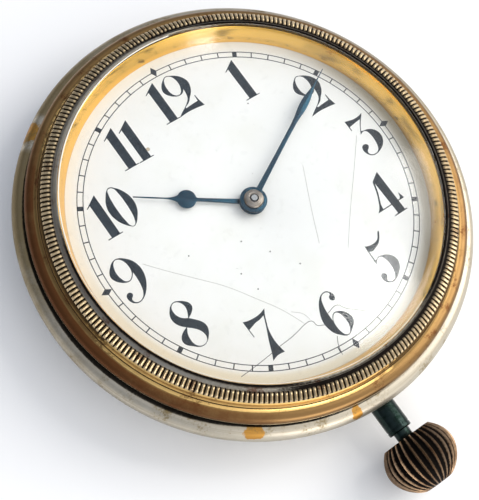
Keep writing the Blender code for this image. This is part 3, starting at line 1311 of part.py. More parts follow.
def make_ratchet_wheel():
    """The ratchet wheel on the barrel arbor's square, and the screw that holds it."""
    half = ARBOR_RADIUS * ARBOR_SQUARE_SHARE + SEAT_GAP
    square = [(half, half), (-half, half), (-half, -half), (half, -half)]
    outline = gear_outline(RATCHET_TEETH, WINDING_MODULE, RATCHET_START)
    flat("ratchet_wheel", [outline, square], WINDING_WHEEL_BASE_Z, WINDING_WHEEL_TOP_Z, STEEL, BARREL)
    head_top = WINDING_WHEEL_BASE_Z - SEAT_GAP
    screw = turned(
        "ratchet_screw",
        shaft_profile([
            (SCREW_RADIUS, WINDING_WHEEL_TOP_Z - SEAT_GAP, head_top),
            (2 * SCREW_HEAD_RADIUS, head_top, head_top - SCREW_HEAD_HEIGHT),
        ]),
        BLUED, BOSS_STEPS, centre=BARREL,
    )
    return cut(screw, screw_slot("ratchet_screw_slot", BARREL, head_top - SCREW_HEAD_HEIGHT, 2 * SCREW_HEAD_RADIUS))


def make_crown_wheel():
    """The crown wheel on its post, between the winding pinion and the ratchet wheel."""
    start = meshed_start(RATCHET_TEETH, RATCHET_START, RATCHET_START, CROWN_WHEEL_TEETH)
    outline = gear_outline(CROWN_WHEEL_TEETH, WINDING_MODULE, start)
    bore = circle(CROWN_WHEEL_BORE, steps=POCKET_STEPS)
    flat("crown_wheel", [outline, bore], WINDING_WHEEL_BASE_Z, WINDING_WHEEL_TOP_Z, STEEL, CROWN_WHEEL)
    head_top = WINDING_WHEEL_BASE_Z - SEAT_GAP
    post = turned(
        "crown_wheel_post",
        shaft_profile([
            (SCREW_RADIUS, POST_TIP_Z - SEAT_GAP, BARREL_BRIDGE_BASE_Z - SEAT_GAP),
            (CROWN_WHEEL_BORE - RUN_PLAY, BARREL_BRIDGE_BASE_Z - SEAT_GAP, head_top),
            (POST_HEAD_RADIUS, head_top, head_top - POST_HEAD_HEIGHT),
        ]),
        BLUED, POCKET_STEPS, centre=CROWN_WHEEL,
    )
    return cut(post, screw_slot("crown_post_slot", CROWN_WHEEL, head_top - POST_HEAD_HEIGHT, POST_HEAD_RADIUS))


def crown_wheel_start():
    """The bearing of one of the crown wheel's teeth."""
    return meshed_start(RATCHET_TEETH, RATCHET_START, RATCHET_START, CROWN_WHEEL_TEETH)


def make_winding_pinion():
    """The winding pinion on the stem, whose leaves turn the crown wheel."""
    pitch = 360 / CROWN_WHEEL_TEETH
    lead = ((-90 - crown_wheel_start()) / pitch) % 1
    start = -90 + (0.5 - lead) * 360 / WINDING_PINION_TEETH
    outline = gear_outline(WINDING_PINION_TEETH, WINDING_MODULE, start, leaves=True)
    bore = circle(STEM_PILOT_RADIUS + RUN_PLAY)
    outer_end = WINDING_PINION_AT + WINDING_PINION_LENGTH
    return on_stem_axis_at(
        flat("winding_pinion", [outline, bore], WINDING_PINION_AT, outer_end, STEEL),
        (WINDING_PINION_AT + outer_end) / 2,
    )


def make_sliding_pinion():
    """The sliding pinion: a grooved drum with face teeth towards the setting wheel."""
    outer_end = WINDING_PINION_AT - 2 * SEAT_GAP
    inner_end = outer_end - CLUTCH_LENGTH
    groove_half = CLUTCH_LENGTH / 8
    middle = (outer_end + inner_end) / 2 + groove_half
    tooth_height = CLUTCH_LENGTH / 5
    profile = [
        (CLUTCH_RADIUS, outer_end),
        (CLUTCH_RADIUS, middle + groove_half),
        (CLUTCH_GROOVE_RADIUS, middle + groove_half),
        (CLUTCH_GROOVE_RADIUS, middle - groove_half),
        (CLUTCH_RADIUS, middle - groove_half),
        (CLUTCH_RADIUS, inner_end),
        (STEM_PILOT_RADIUS + RUN_PLAY, inner_end),
        (STEM_PILOT_RADIUS + RUN_PLAY, outer_end),
    ]
    pinion = on_stem_axis(turned("sliding_pinion", profile, STEEL, POCKET_STEPS, closed=True))
    gap = CLUTCH_RADIUS * math.sin(math.pi / CLUTCH_TEETH / 2)
    for index in range(CLUTCH_TEETH // 2):
        slot = [(CLUTCH_RADIUS * 2, gap), (-CLUTCH_RADIUS * 2, gap), (-CLUTCH_RADIUS * 2, -gap), (CLUTCH_RADIUS * 2, -gap)]
        tool = flat(f"clutch_slot_{index + 1}", [slot], -tooth_height / 2, tooth_height / 2 - CUT_OVERRUN, None)
        on_stem_axis_at(tool, inner_end)
        tool.rotation_euler = (math.pi / 2, math.radians(index * 360 / CLUTCH_TEETH), 0.0)
        cut(pinion, tool)
    return pinion


def click_tip():
    """The click's tip, just clear of the ratchet's teeth."""
    return polar(RATCHET_TIP + CLICK_TIP_PLAY, CLICK_BEARING + 13, BARREL)


def make_click():
    """The click that keeps the ratchet wheel from running back, and its blade spring."""
    tip = click_tip()
    line = bearing(CLICK, tip)
    across = line + 90
    root_left = polar(CLICK_ARM_WIDTH, across, CLICK)
    root_right = polar(CLICK_ARM_WIDTH, across - 180, CLICK)
    outline = [root_right, tip, polar(CLICK_ARM_WIDTH / 2, across, tip), root_left]
    outline = outline if is_counter_clockwise(outline) else outline[::-1]
    base = WINDING_WHEEL_BASE_Z
    top = WINDING_WHEEL_TOP_Z
    arm = flat("click", [about(outline, CLICK)], base, top, STEEL, CLICK)
    join(arm, drill("click_boss", CLICK_BOSS_RADIUS, top, base, CLICK, BOSS_STEPS))
    cut(arm, drill("click_hole", SCREW_RADIUS + RUN_PLAY, top + CUT_OVERRUN, base - CUT_OVERRUN, CLICK))
    return arm


def is_counter_clockwise(outline):
    """Whether an outline runs counter-clockwise."""
    following = outline[1:] + outline[:1]
    return sum(x1 * y2 - x2 * y1 for (x1, y1), (x2, y2) in zip(outline, following)) > 0


def make_click_spring():
    """The bent blade that presses the click, screwed down at its foot."""
    tip = click_tip()
    line = bearing(CLICK, tip)
    outward = line + 90 if distance(polar(CLICK_BOSS_RADIUS, line + 90, CLICK), BARREL) > distance(CLICK, BARREL) else line - 90
    near = polar(CLICK_BOSS_RADIUS + CLICK_SPRING_THICKNESS, outward, CLICK)
    foot = polar(CLICK_SPRING_LENGTH, line + 180, near)
    outline = bar_outline(foot, near, 2 * CLICK_SPRING_THICKNESS, CLICK_SPRING_THICKNESS)
    blade = flat("click_spring", [outline], WINDING_WHEEL_BASE_Z, WINDING_WHEEL_TOP_Z, STEEL)
    disc = drill("click_spring_foot", CLICK_SPRING_FOOT_RADIUS, WINDING_WHEEL_TOP_Z, WINDING_WHEEL_BASE_Z, foot, BOSS_STEPS)
    return join(blade, disc)


# Escapement

def make_pallet_fork():
    """The lever: two pallet arms with their stones, a fork at the balance end and its arbor."""
    top = ESCAPE_WHEEL_Z + PALLET_THICKNESS
    reach = BALANCE_DISTANCE - JEWEL_PIN_AT - JEWEL_PIN_RADIUS - FORK_PLAY
    line = PALLET_BEARING
    end = polar(reach, line, PALLET)
    notch = 2 * JEWEL_PIN_RADIUS + FORK_PLAY
    horn_root = polar(reach - 2 * notch, line, PALLET)
    notch_floor = polar(reach - notch, line, PALLET)
    outline = [
        polar(PALLET_ARM_WIDTH, line - 90, PALLET),
        polar(PALLET_ARM_WIDTH / 2, line - 90, horn_root),
        polar(notch, line - 90, end),
        polar(notch / 2, line - 90, end),
        polar(notch / 2, line - 90, notch_floor),
        polar(notch / 2, line + 90, notch_floor),
        polar(notch / 2, line + 90, end),
        polar(notch, line + 90, end),
        polar(PALLET_ARM_WIDTH / 2, line + 90, horn_root),
        polar(PALLET_ARM_WIDTH, line + 90, PALLET),
    ]
    fork = flat("pallet_fork", [about(outline, PALLET)], ESCAPE_WHEEL_Z, top, STEEL, PALLET)
    for side in (-1, 1):
        contact = line + side * PALLET_HALF_SPAN
        stone_tip = polar(ESCAPE_RADIUS + PALLET_STONE_PLAY + PALLET_STONE_WIDTH / 2, contact, ESCAPE)
        arm = bar_outline(PALLET, stone_tip, PALLET_ARM_WIDTH, PALLET_STONE_WIDTH)
        thinner = SEAT_GAP * (2 + side) / 4
        join(fork, flat(f"pallet_arm_{side}", [arm], ESCAPE_WHEEL_Z + thinner, top - thinner, None))
    arbor = turned(
        "pallet_arbor",
        shaft_profile([
            (PIVOT_RADIUS, TRAIN_ENDS[0] + PIVOT_DEPTH, TRAIN_ENDS[0]),
            (TRAIN_ARBOR_RADIUS, TRAIN_ENDS[0], pallet_cock_top() + 2 * SEAT_GAP),
            (PIVOT_RADIUS, pallet_cock_top() + 2 * SEAT_GAP, pallet_cock_top() - PALLET_COCK_THICKNESS / 2),
        ]),
        None, centre=PALLET,
    )
    return join(fork, arbor)


def pallet_cock_top():
    """The height of the pallet cock's inner face."""
    return PALLET_COCK_BASE_Z + PALLET_COCK_THICKNESS


def make_pallet_cock():
    """The small cock over the pallet fork's arbor, on a foot in the plate's pocket."""
    boss = COCK_BOSS_RADIUS / 2
    cock = flat(
        "pallet_cock", [bar_outline(PALLET, PALLET_FOOT, 2 * boss, SCREW_HEAD_RADIUS)],
        PALLET_COCK_BASE_Z, pallet_cock_top(), BRASS,
    )
    boss_top = pallet_cock_top() + SEAT_GAP
    join(cock, drill("pallet_cock_boss", boss, boss_top, PALLET_COCK_BASE_Z - SEAT_GAP, PALLET, BOSS_STEPS))
    foot_top = POCKET_ROOF_Z + PALLET_POCKET_ORDER * POCKET_DEPTH_STEP - SEAT_GAP
    foot_base = PALLET_COCK_BASE_Z + SEAT_GAP
    join(cock, drill("pallet_cock_foot", SCREW_HEAD_RADIUS, foot_top, foot_base, PALLET_FOOT, BOSS_STEPS))
    top = POCKET_ROOF_Z + CUT_OVERRUN
    base = PALLET_COCK_BASE_Z - CUT_OVERRUN
    cut(cock, drill("pallet_cock_screw_hole", SCREW_RADIUS + SEAT_GAP, top, base, PALLET_FOOT))
    return cut(cock, drill("pallet_cock_pivot", PIVOT_RADIUS + PIVOT_PLAY, top, base, PALLET, HOLE_STEPS))


def make_balance_wheel():
    """The two-armed balance."""
    rim_top = BALANCE_RIM_BASE_Z + BALANCE_RIM_HEIGHT
    rim = ring_profile(BALANCE_RADIUS, BALANCE_RADIUS - BALANCE_RIM_WIDTH, rim_top, BALANCE_RIM_BASE_Z)
    balance = turned("balance_wheel", rim, BRASS, WHEEL_STEPS, closed=True, centre=BALANCE)
    arm_base = BALANCE_RIM_BASE_Z + (BALANCE_RIM_HEIGHT - BALANCE_ARM_THICKNESS) / 2
    half_length = BALANCE_RADIUS - BALANCE_RIM_WIDTH / 2
    arm = bar_outline((-half_length, 0.0), (half_length, 0.0), BALANCE_ARM_WIDTH, BALANCE_ARM_WIDTH)
    join(balance, flat("balance_arms", [arm], arm_base, arm_base + BALANCE_ARM_THICKNESS, None, BALANCE))
    hub_top = arm_base + BALANCE_ARM_THICKNESS + SEAT_GAP
    join(balance, drill("balance_hub", BALANCE_HUB_RADIUS, hub_top, arm_base - SEAT_GAP, BALANCE, BOSS_STEPS))
    bore_radius = BALANCE_HUB_BORE
    cut(balance, drill("balance_bore", bore_radius, rim_top, BALANCE_RIM_BASE_Z, BALANCE))
    return balance


def make_balance_staff():
    """The staff with its roller, the ruby pin that works the fork, and the hairspring's collet."""
    arm_top = BALANCE_RIM_BASE_Z + (BALANCE_RIM_HEIGHT + BALANCE_ARM_THICKNESS) / 2
    roller_top = ROLLER_Z + ROLLER_THICKNESS
    collet_radius = HAIRSPRING_INNER_RADIUS - SEAT_GAP - HAIRSPRING_THICKNESS / 2
    staff = turned(
        "balance_staff",
        shaft_profile([
            (PIVOT_RADIUS, TRAIN_ENDS[0] + PIVOT_DEPTH, TRAIN_ENDS[0]),
            (STAFF_RADIUS, TRAIN_ENDS[0], roller_top),
            (ROLLER_RADIUS, roller_top, ROLLER_Z),
            (STAFF_RADIUS, ROLLER_Z, arm_top + MOTION_GAP),
            (STAFF_RADIUS, arm_top + MOTION_GAP, HAIRSPRING_Z + HAIRSPRING_HEIGHT + SEAT_GAP),
            (collet_radius, HAIRSPRING_Z + HAIRSPRING_HEIGHT + SEAT_GAP, COCK_TOP_Z + 2 * SEAT_GAP),
            (PIVOT_RADIUS, COCK_TOP_Z + 2 * SEAT_GAP, COCK_TOP_Z - PIVOT_DEPTH),
        ]),
        STEEL, SHAFT_STEPS, centre=BALANCE,
    )
    pin = drill(
        "jewel_pin", JEWEL_PIN_RADIUS, roller_top + JEWEL_PIN_LENGTH, ROLLER_Z + ROLLER_THICKNESS / 2,
        polar(JEWEL_PIN_AT, PALLET_BEARING + 180, BALANCE), 10,
    )
    return join(staff, pin)


def make_hairspring():
    """The flat hairspring between the staff's collet and the stud on the cock."""
    inner = HAIRSPRING_INNER_RADIUS + HAIRSPRING_THICKNESS
    strip = strip_outline(
        inner, HAIRSPRING_OUTER_RADIUS, HAIRSPRING_TURNS, HAIRSPRING_POINTS, HAIRSPRING_THICKNESS,
        HAIRSPRING_END_BEARING, CENTRE,
    )
    spring = flat("hairspring", [strip], HAIRSPRING_Z, HAIRSPRING_Z + HAIRSPRING_HEIGHT, BLUED, BALANCE)
    stud_at = polar(HAIRSPRING_OUTER_RADIUS + HAIRSPRING_THICKNESS / 2 + SEAT_GAP + STUD_RADIUS, HAIRSPRING_END_BEARING, BALANCE)
    turned(
        "hairspring_stud",
        disc_profile(STUD_RADIUS, HAIRSPRING_Z + HAIRSPRING_HEIGHT + MOTION_GAP, COCK_TOP_Z + SEAT_GAP),
        STEEL, SCREW_STEPS, centre=stud_at,
    )
    return spring


def make_balance_cock():
    """The cock that bridges the balance, on a foot at the edge of the movement."""
    line = bearing(CENTRE, BALANCE)
    foot = arc(BRIDGE_RIM_RADIUS, line - COCK_FOOT_SPREAD, line + COCK_FOOT_SPREAD, 4)
    foot += arc(COCK_FOOT_RADIUS, line + COCK_FOOT_SPREAD, line - COCK_FOOT_SPREAD, 2)
    cock = flat("balance_cock", [foot], COCK_BASE_Z + SEAT_GAP, BRIDGE_TOP_Z, BRASS)
    foot_middle = polar((COCK_FOOT_RADIUS + BRIDGE_RIM_RADIUS) / 2, line)
    arm = bar_outline(BALANCE, foot_middle, COCK_ARM_WIDTH, 3 * COCK_ARM_WIDTH)
    join(cock, flat("cock_arm", [arm], COCK_BASE_Z, COCK_TOP_Z, None))
    boss_top = COCK_TOP_Z + SEAT_GAP
    boss_base = COCK_BASE_Z - SEAT_GAP
    join(cock, drill("cock_boss", COCK_BOSS_RADIUS, boss_top, boss_base, BALANCE, BOSS_STEPS))
    cap_base = COCK_BASE_Z - REGULATOR_THICKNESS - ENDSTONE_HEIGHT
    join(cock, drill("cock_cap", ENDSTONE_RADIUS, COCK_BASE_Z + 2 * SEAT_GAP, cap_base, BALANCE, BOSS_STEPS))
    cut(cock, drill("cock_pivot", PIVOT_RADIUS + PIVOT_PLAY, COCK_TOP_Z + CUT_OVERRUN, COCK_TOP_Z - PIVOT_DEPTH - SEAT_GAP, BALANCE, HOLE_STEPS))
    return cut(cock, drill("cock_screw_hole", SCREW_RADIUS + SEAT_GAP, STEM_AXIS_Z, COCK_BASE_Z - CUT_OVERRUN, COCK_SCREW))


def make_regulator():
    """The regulator round the cock's cap, with its long index tail."""
    top = COCK_BASE_Z - 2 * SEAT_GAP
    base = top - REGULATOR_THICKNESS
    tail = polar(REGULATOR_TAIL_LENGTH, bearing(CENTRE, BALANCE), BALANCE)
    index = bar_outline(BALANCE, tail, 2 * REGULATOR_TAIL_WIDTH, REGULATOR_TAIL_WIDTH)
    body = flat(
        "regulator", [about(index, BALANCE)], base + SEAT_GAP / 2, top - SEAT_GAP / 2, STEEL, BALANCE,
    )
    join(body, drill("regulator_ring", REGULATOR_RADIUS, top, base, BALANCE, BOSS_STEPS))
    return cut(body, drill("regulator_bore", REGULATOR_BORE, top + CUT_OVERRUN, base - CUT_OVERRUN, BALANCE))


# Plates and bridges

ARBORS = {
    "intermediate": INTERMEDIATE,
    "third": THIRD,
    "fourth": FOURTH,
    "escape": ESCAPE,
    "pallet": PALLET,
    "balance": BALANCE,
}


def pocket(name, order, radius, centre, steps=POCKET_STEPS):
    """A round pocket in the main plate's underside; each one in order is sunk a little deeper."""
    roof = POCKET_ROOF_Z + order * POCKET_DEPTH_STEP
    return drill(name, radius + POCKET_PLAY, roof, STEM_AXIS_Z - CUT_OVERRUN, centre, steps)


def wheel_tip(teeth, module):
    """A wheel's outer radius."""
    return teeth * module / 2 + WHEEL_ADDENDUM_SHARE * module


def stem_cutters(prefix):
    """The stem's groove and the pockets round its pinions, for the plate and the bridge."""
    pinion_tip = WINDING_PINION_TEETH * WINDING_MODULE / 2 + LEAF_ADDENDUM_SHARE * WINDING_MODULE
    pinion_end = WINDING_PINION_AT + WINDING_PINION_LENGTH
    clutch_start = WINDING_PINION_AT - CLUTCH_LENGTH - CLUTCH_TRAVEL - POCKET_PLAY
    return (
        stem_tunnel(f"{prefix}_pinion_pocket", pinion_tip + POCKET_PLAY, WINDING_PINION_AT - RUN_PLAY, pinion_end + RUN_PLAY, POCKET_STEPS),
        stem_tunnel(f"{prefix}_clutch_pocket", CLUTCH_RADIUS + CLUTCH_POCKET_PLAY, clutch_start, WINDING_PINION_AT, POCKET_STEPS),
        stem_tunnel(f"{prefix}_stem_groove", STEM_BODY_RADIUS + RUN_PLAY, pinion_end, PLATE_RADIUS + CUT_OVERRUN),
        stem_tunnel(f"{prefix}_pilot_groove", STEM_PILOT_RADIUS + RUN_PLAY, STEM_PILOT_END - CUT_OVERRUN, clutch_start + CUT_OVERRUN),
    )


def make_main_plate():
    """The main plate, pocketed from below for the train, with a flange that rests on the case's ledge."""
    flange_base = PLATE_TOP_Z - PLATE_FLANGE_THICKNESS
    rim_top = DIAL_FACE_Z - DIAL_THICKNESS - SEAT_GAP
    rim_inner = PLATE_RIM_RADIUS - PLATE_RIM_WIDTH
    centre_bore = CENTRE_ARBOR_RADIUS + PIVOT_PLAY
    profile = [
        (centre_bore, PLATE_TOP_Z),
        (rim_inner, PLATE_TOP_Z),
        (rim_inner, rim_top),
        (PLATE_RIM_RADIUS, rim_top),
        (PLATE_RIM_RADIUS, PLATE_TOP_Z),
        (PLATE_FLANGE_RADIUS, PLATE_TOP_Z),
        (PLATE_FLANGE_RADIUS, flange_base),
        (PLATE_RADIUS, flange_base),
        (PLATE_RADIUS, STEM_AXIS_Z),
        (centre_bore, STEM_AXIS_Z),
    ]
    plate = turned("main_plate", profile, BRASS, PLATE_STEPS, closed=True)
    cut(
        plate,
        pocket("barrel_pocket", 0, BARREL_TIP, BARREL, WHEEL_STEPS),
        pocket("intermediate_pocket", 1, wheel_tip(INTERMEDIATE_TEETH, INTERMEDIATE_MODULE), INTERMEDIATE),
        pocket("centre_pocket", 2, wheel_tip(CENTRE_TEETH, CENTRE_MODULE), CENTRE),
        pocket("third_pocket", 3, wheel_tip(THIRD_TEETH, THIRD_MODULE), THIRD),
        pocket("fourth_pocket", 4, wheel_tip(FOURTH_TEETH, FOURTH_MODULE), FOURTH),
        pocket("escape_pocket", 5, ESCAPE_RADIUS, ESCAPE),
        pocket("balance_pocket", 6, BALANCE_RADIUS, BALANCE),
        pocket("pallet_pocket", PALLET_POCKET_ORDER, SCREW_HEAD_RADIUS, PALLET_FOOT, BOSS_STEPS),
        pocket("setting_pocket", 8, wheel_tip(SETTING_WHEEL_TEETH, SETTING_MODULE), SETTING, BOSS_STEPS),
    )
    cut(plate, *stem_cutters("plate"))
    hole_top = PLATE_TOP_Z + CUT_OVERRUN
    for name, at in ARBORS.items():
        cut(plate, drill(f"{name}_pivot_hole", PIVOT_RADIUS + PIVOT_PLAY, hole_top, POCKET_ROOF_Z - CUT_OVERRUN, at, HOLE_STEPS))
    cut(plate, drill("barrel_pivot_hole", SCREW_RADIUS + PIVOT_PLAY, hole_top, POCKET_ROOF_Z - CUT_OVERRUN, BARREL))
    cut(plate, drill("setting_hole", SETTING_ARBOR_RADIUS + PIVOT_PLAY, hole_top, POCKET_ROOF_Z - CUT_OVERRUN, SETTING, SHAFT_STEPS))
    post_top = MOTION_WHEEL_Z + 2 * MOTION_WHEEL_THICKNESS
    join(plate, drill("minute_post", MINUTE_POST_RADIUS, post_top, PLATE_TOP_Z - PLATE_FLANGE_THICKNESS / 2, MINUTE_POST))
    for index, degrees in enumerate(DIAL_FOOT_BEARINGS):
        foot_end = DIAL_FACE_Z - DIAL_THICKNESS - DIAL_FOOT_LENGTH - SEAT_GAP
        at = polar(DIAL_FOOT_CIRCLE, degrees)
        cut(plate, drill(f"foot_hole_{index + 1}", DIAL_FOOT_RADIUS + RUN_PLAY, hole_top, foot_end, at))
    for index, degrees in enumerate(CASE_SCREW_BEARINGS):
        at = polar(CASE_SCREW_CIRCLE, degrees)
        cut(plate, drill(f"case_screw_hole_{index + 1}", SCREW_RADIUS + SEAT_GAP, hole_top, flange_base - CUT_OVERRUN, at))
    for index, at in enumerate((*BARREL_SCREWS, *TRAIN_SCREWS, COCK_SCREW)):
        cut(plate, drill(f"bridge_screw_hole_{index + 1}", SCREW_RADIUS + SEAT_GAP, screw_hole_top(), STEM_AXIS_Z - CUT_OVERRUN, at))
    cut_setting_pocket(plate)
    return plate


def screw_hole_top():
    """The height that the bridge screws' holes in the plate reach."""
    return STEM_AXIS_Z + (POCKET_ROOF_Z - STEM_AXIS_Z) / 2


def setting_lever_outline(margin):
    """The setting lever's outline, grown by a margin for its pocket."""
    pivot = (SETTING_LEVER_PIVOT_X, -SETTING_LEVER_PIVOT_AT)
    pin = (0.0, -STEM_GROOVE_AT)
    line = bearing(pivot, pin)
    end = polar(SETTING_LEVER_WIDTH / 2 + margin, line, pin)
    tail = polar(SETTING_LEVER_TAIL + margin, line + 180, pivot)
    width = SETTING_LEVER_WIDTH + 2 * margin
    return bar_outline(end, tail, width, width)


def cut_setting_pocket(plate):
    """Sinks the setting lever's pocket into the plate's dial side, with a slot for its pin."""
    base = SETTING_LEVER_Z - SEAT_GAP
    pocket_top = DIAL_FACE_Z - DIAL_THICKNESS
    cut(plate, flat("lever_pocket", [setting_lever_outline(SETTING_POCKET_PLAY)], base, pocket_top, None))
    half = SETTING_PIN_RADIUS + POCKET_PLAY
    near = -STEM_GROOVE_AT + half
    far = -STEM_GROOVE_AT - STEM_PULL - half
    slot = [(half, near), (-half, near), (-half, far), (half, far)]
    slot_base = STEM_AXIS_Z + STEM_BODY_RADIUS / 2
    cut(plate, flat("pin_slot", [slot], slot_base, base + CUT_OVERRUN, None))
    pivot = (SETTING_LEVER_PIVOT_X, -SETTING_LEVER_PIVOT_AT)
    return cut(plate, drill("lever_screw_hole", SCREW_RADIUS + SEAT_GAP, base + CUT_OVERRUN, screw_hole_top() - SCREW_RADIUS, pivot))


def make_setting_lever():
    """The setting lever, whose pin sits in the stem's groove, and the screw that it turns on."""
    top = SETTING_LEVER_Z + SETTING_LEVER_THICKNESS
    pivot = (SETTING_LEVER_PIVOT_X, -SETTING_LEVER_PIVOT_AT)
    outline = about(setting_lever_outline(0.0), pivot)
    lever = flat("setting_lever", [outline], SETTING_LEVER_Z, top, STEEL, pivot)
    boss_base = SETTING_LEVER_Z + SEAT_GAP
    join(lever, drill("lever_boss", SETTING_LEVER_BOSS_RADIUS, top - SEAT_GAP / 2, boss_base, pivot, BOSS_STEPS))
    pin_end = STEM_AXIS_Z + STEM_GROOVE_RADIUS + SEAT_GAP
    pin = drill("lever_pin", SETTING_PIN_RADIUS, top - SEAT_GAP, pin_end, (0.0, -STEM_GROOVE_AT))
    join(lever, pin)
    cut(lever, drill("lever_hole", SCREW_RADIUS + RUN_PLAY, top + CUT_OVERRUN, SETTING_LEVER_Z - CUT_OVERRUN, pivot))
    screw = turned(
        "setting_lever_screw",
        shaft_profile([
            (SCREW_HEAD_RADIUS, top + SEAT_GAP + SCREW_HEAD_HEIGHT, top + SEAT_GAP),
            (SCREW_RADIUS, top + SEAT_GAP, screw_hole_top() - SCREW_RADIUS + SEAT_GAP),
        ]),
        BLUED, SCREW_STEPS, centre=pivot,
    )
    slot_top = top + SEAT_GAP + SCREW_HEAD_HEIGHT
    return cut(screw, screw_slot("lever_screw_slot", pivot, slot_top - SCREW_SLOT_DEPTH, SCREW_HEAD_RADIUS, upwards=True))


BARREL_BRIDGE_SHARES = (
    (0.165, -0.28), (0.1, -0.217), (-0.095, -0.125), (-0.11, 0.02), (-0.13, 0.17), (-0.27, 0.31),
)


def make_barrel_bridge():
    """The barrel bridge: the left half of the movement's back, recessed for the barrel."""
    outline = arc(BRIDGE_RIM_RADIUS, 142, 279, 16)
    outline += [(BRIDGE_RIM_RADIUS * x, BRIDGE_RIM_RADIUS * y) for x, y in BARREL_BRIDGE_SHARES]
    bridge = flat("barrel_bridge", [outline], BARREL_BRIDGE_BASE_Z, BRIDGE_TOP_Z, BRASS)
    recess_top = STEM_AXIS_Z + CUT_OVERRUN
    cut(
        bridge,
        drill("barrel_recess", BARREL_TIP + POCKET_PLAY, recess_top, BARREL_BRIDGE_RECESS_Z, BARREL, WHEEL_STEPS),
        drill("intermediate_recess", CLUTCH_RADIUS, recess_top, BARREL_BRIDGE_RECESS_Z, INTERMEDIATE, BOSS_STEPS),
        drill("barrel_arbor_hole", ARBOR_RADIUS + RUN_PLAY, recess_top, BARREL_BRIDGE_BASE_Z - CUT_OVERRUN, BARREL, POCKET_STEPS),
    )
    pivot_base = BARREL_BRIDGE_RECESS_Z - PIVOT_DEPTH - SEAT_GAP
    cut(bridge, drill("intermediate_foot_hole", PIVOT_RADIUS + PIVOT_PLAY, BARREL_BRIDGE_RECESS_Z + CUT_OVERRUN, pivot_base, INTERMEDIATE, HOLE_STEPS))
    setting_base = BRIDGE_TOP_Z - PIVOT_DEPTH - SEAT_GAP
    cut(bridge, drill("setting_foot_hole", PIVOT_RADIUS + PIVOT_PLAY, recess_top, setting_base, SETTING, HOLE_STEPS))
    cut(bridge, drill("post_thread", SCREW_RADIUS + SEAT_GAP, POST_TIP_Z, BARREL_BRIDGE_BASE_Z - CUT_OVERRUN, CROWN_WHEEL))
    cut(bridge, *stem_cutters("bridge"))
    for index, at in enumerate(BARREL_SCREWS):
        cut(bridge, drill(f"barrel_bridge_hole_{index + 1}", SCREW_RADIUS + SEAT_GAP, recess_top, BARREL_BRIDGE_BASE_Z - CUT_OVERRUN, at))
    cut(bridge, drill("click_thread", SCREW_RADIUS + SEAT_GAP, BRIDGE_TOP_Z - PIVOT_DEPTH, BARREL_BRIDGE_BASE_Z - CUT_OVERRUN, CLICK))
    return bridge


TRAIN_BRIDGE_SHARES = (
    (-0.07, -0.055), (0.06, -0.11), (0.26, -0.27), (0.34, -0.47), (0.5, -0.6), (0.66, -0.42),
    (0.53, -0.14), (0.49, 0.015), (0.445, 0.065), (0.3, 0.19), (0.19, 0.32), (0.17, 0.45),
    (0.03, 0.46), (0.0, 0.3), (-0.07, 0.05),
)


def make_train_bridge():
    """The train bridge over the centre, third, fourth and escape arbors."""
    outline = [(BRIDGE_RIM_RADIUS * x, BRIDGE_RIM_RADIUS * y) for x, y in TRAIN_BRIDGE_SHARES]
    bridge = flat("train_bridge", [outline], TRAIN_BRIDGE_BASE_Z, BRIDGE_TOP_Z, BRASS)
    top = BRIDGE_TOP_Z + CUT_OVERRUN
    pivot_base = TRAIN_ENDS[1] - PIVOT_DEPTH - SEAT_GAP
    for name, at in (("centre", CENTRE), ("third", THIRD), ("fourth", FOURTH), ("escape", ESCAPE)):
        cut(bridge, drill(f"{name}_foot_hole", PIVOT_RADIUS + PIVOT_PLAY, top, pivot_base, at, HOLE_STEPS))
    for index, at in enumerate(TRAIN_SCREWS):
        cut(bridge, drill(f"train_bridge_hole_{index + 1}", SCREW_RADIUS + SEAT_GAP, top, TRAIN_BRIDGE_BASE_Z - CUT_OVERRUN, at))
    return bridge


# Screws

def screw_slot(name, at, floor, head_radius, upwards=False):
    """A cutter for a screw's driver slot."""
    start = (at[0] - head_radius - CUT_OVERRUN, at[1])
    end = (at[0] + head_radius + CUT_OVERRUN, at[1])
    outline = bar_outline(start, end, SCREW_SLOT_WIDTH, SCREW_SLOT_WIDTH)
    if upwards:
        return flat(name, [outline], floor, floor + SCREW_SLOT_DEPTH + CUT_OVERRUN, None)
    return flat(name, [outline], floor - CUT_OVERRUN, floor + SCREW_SLOT_DEPTH, None)


def make_bridge_screw(name, at, seat, tip):
    """A blued cheese-head screw put in from the back."""
    head_top = seat - SEAT_GAP
    head_base = head_top - SCREW_HEAD_HEIGHT
    spans = [(SCREW_RADIUS, tip, head_top), (SCREW_HEAD_RADIUS, head_top, head_base)]
    screw = turned(name, shaft_profile(spans), BLUED, SCREW_STEPS, centre=at)
    return cut(screw, screw_slot(f"{name}_slot", at, head_base, SCREW_HEAD_RADIUS))


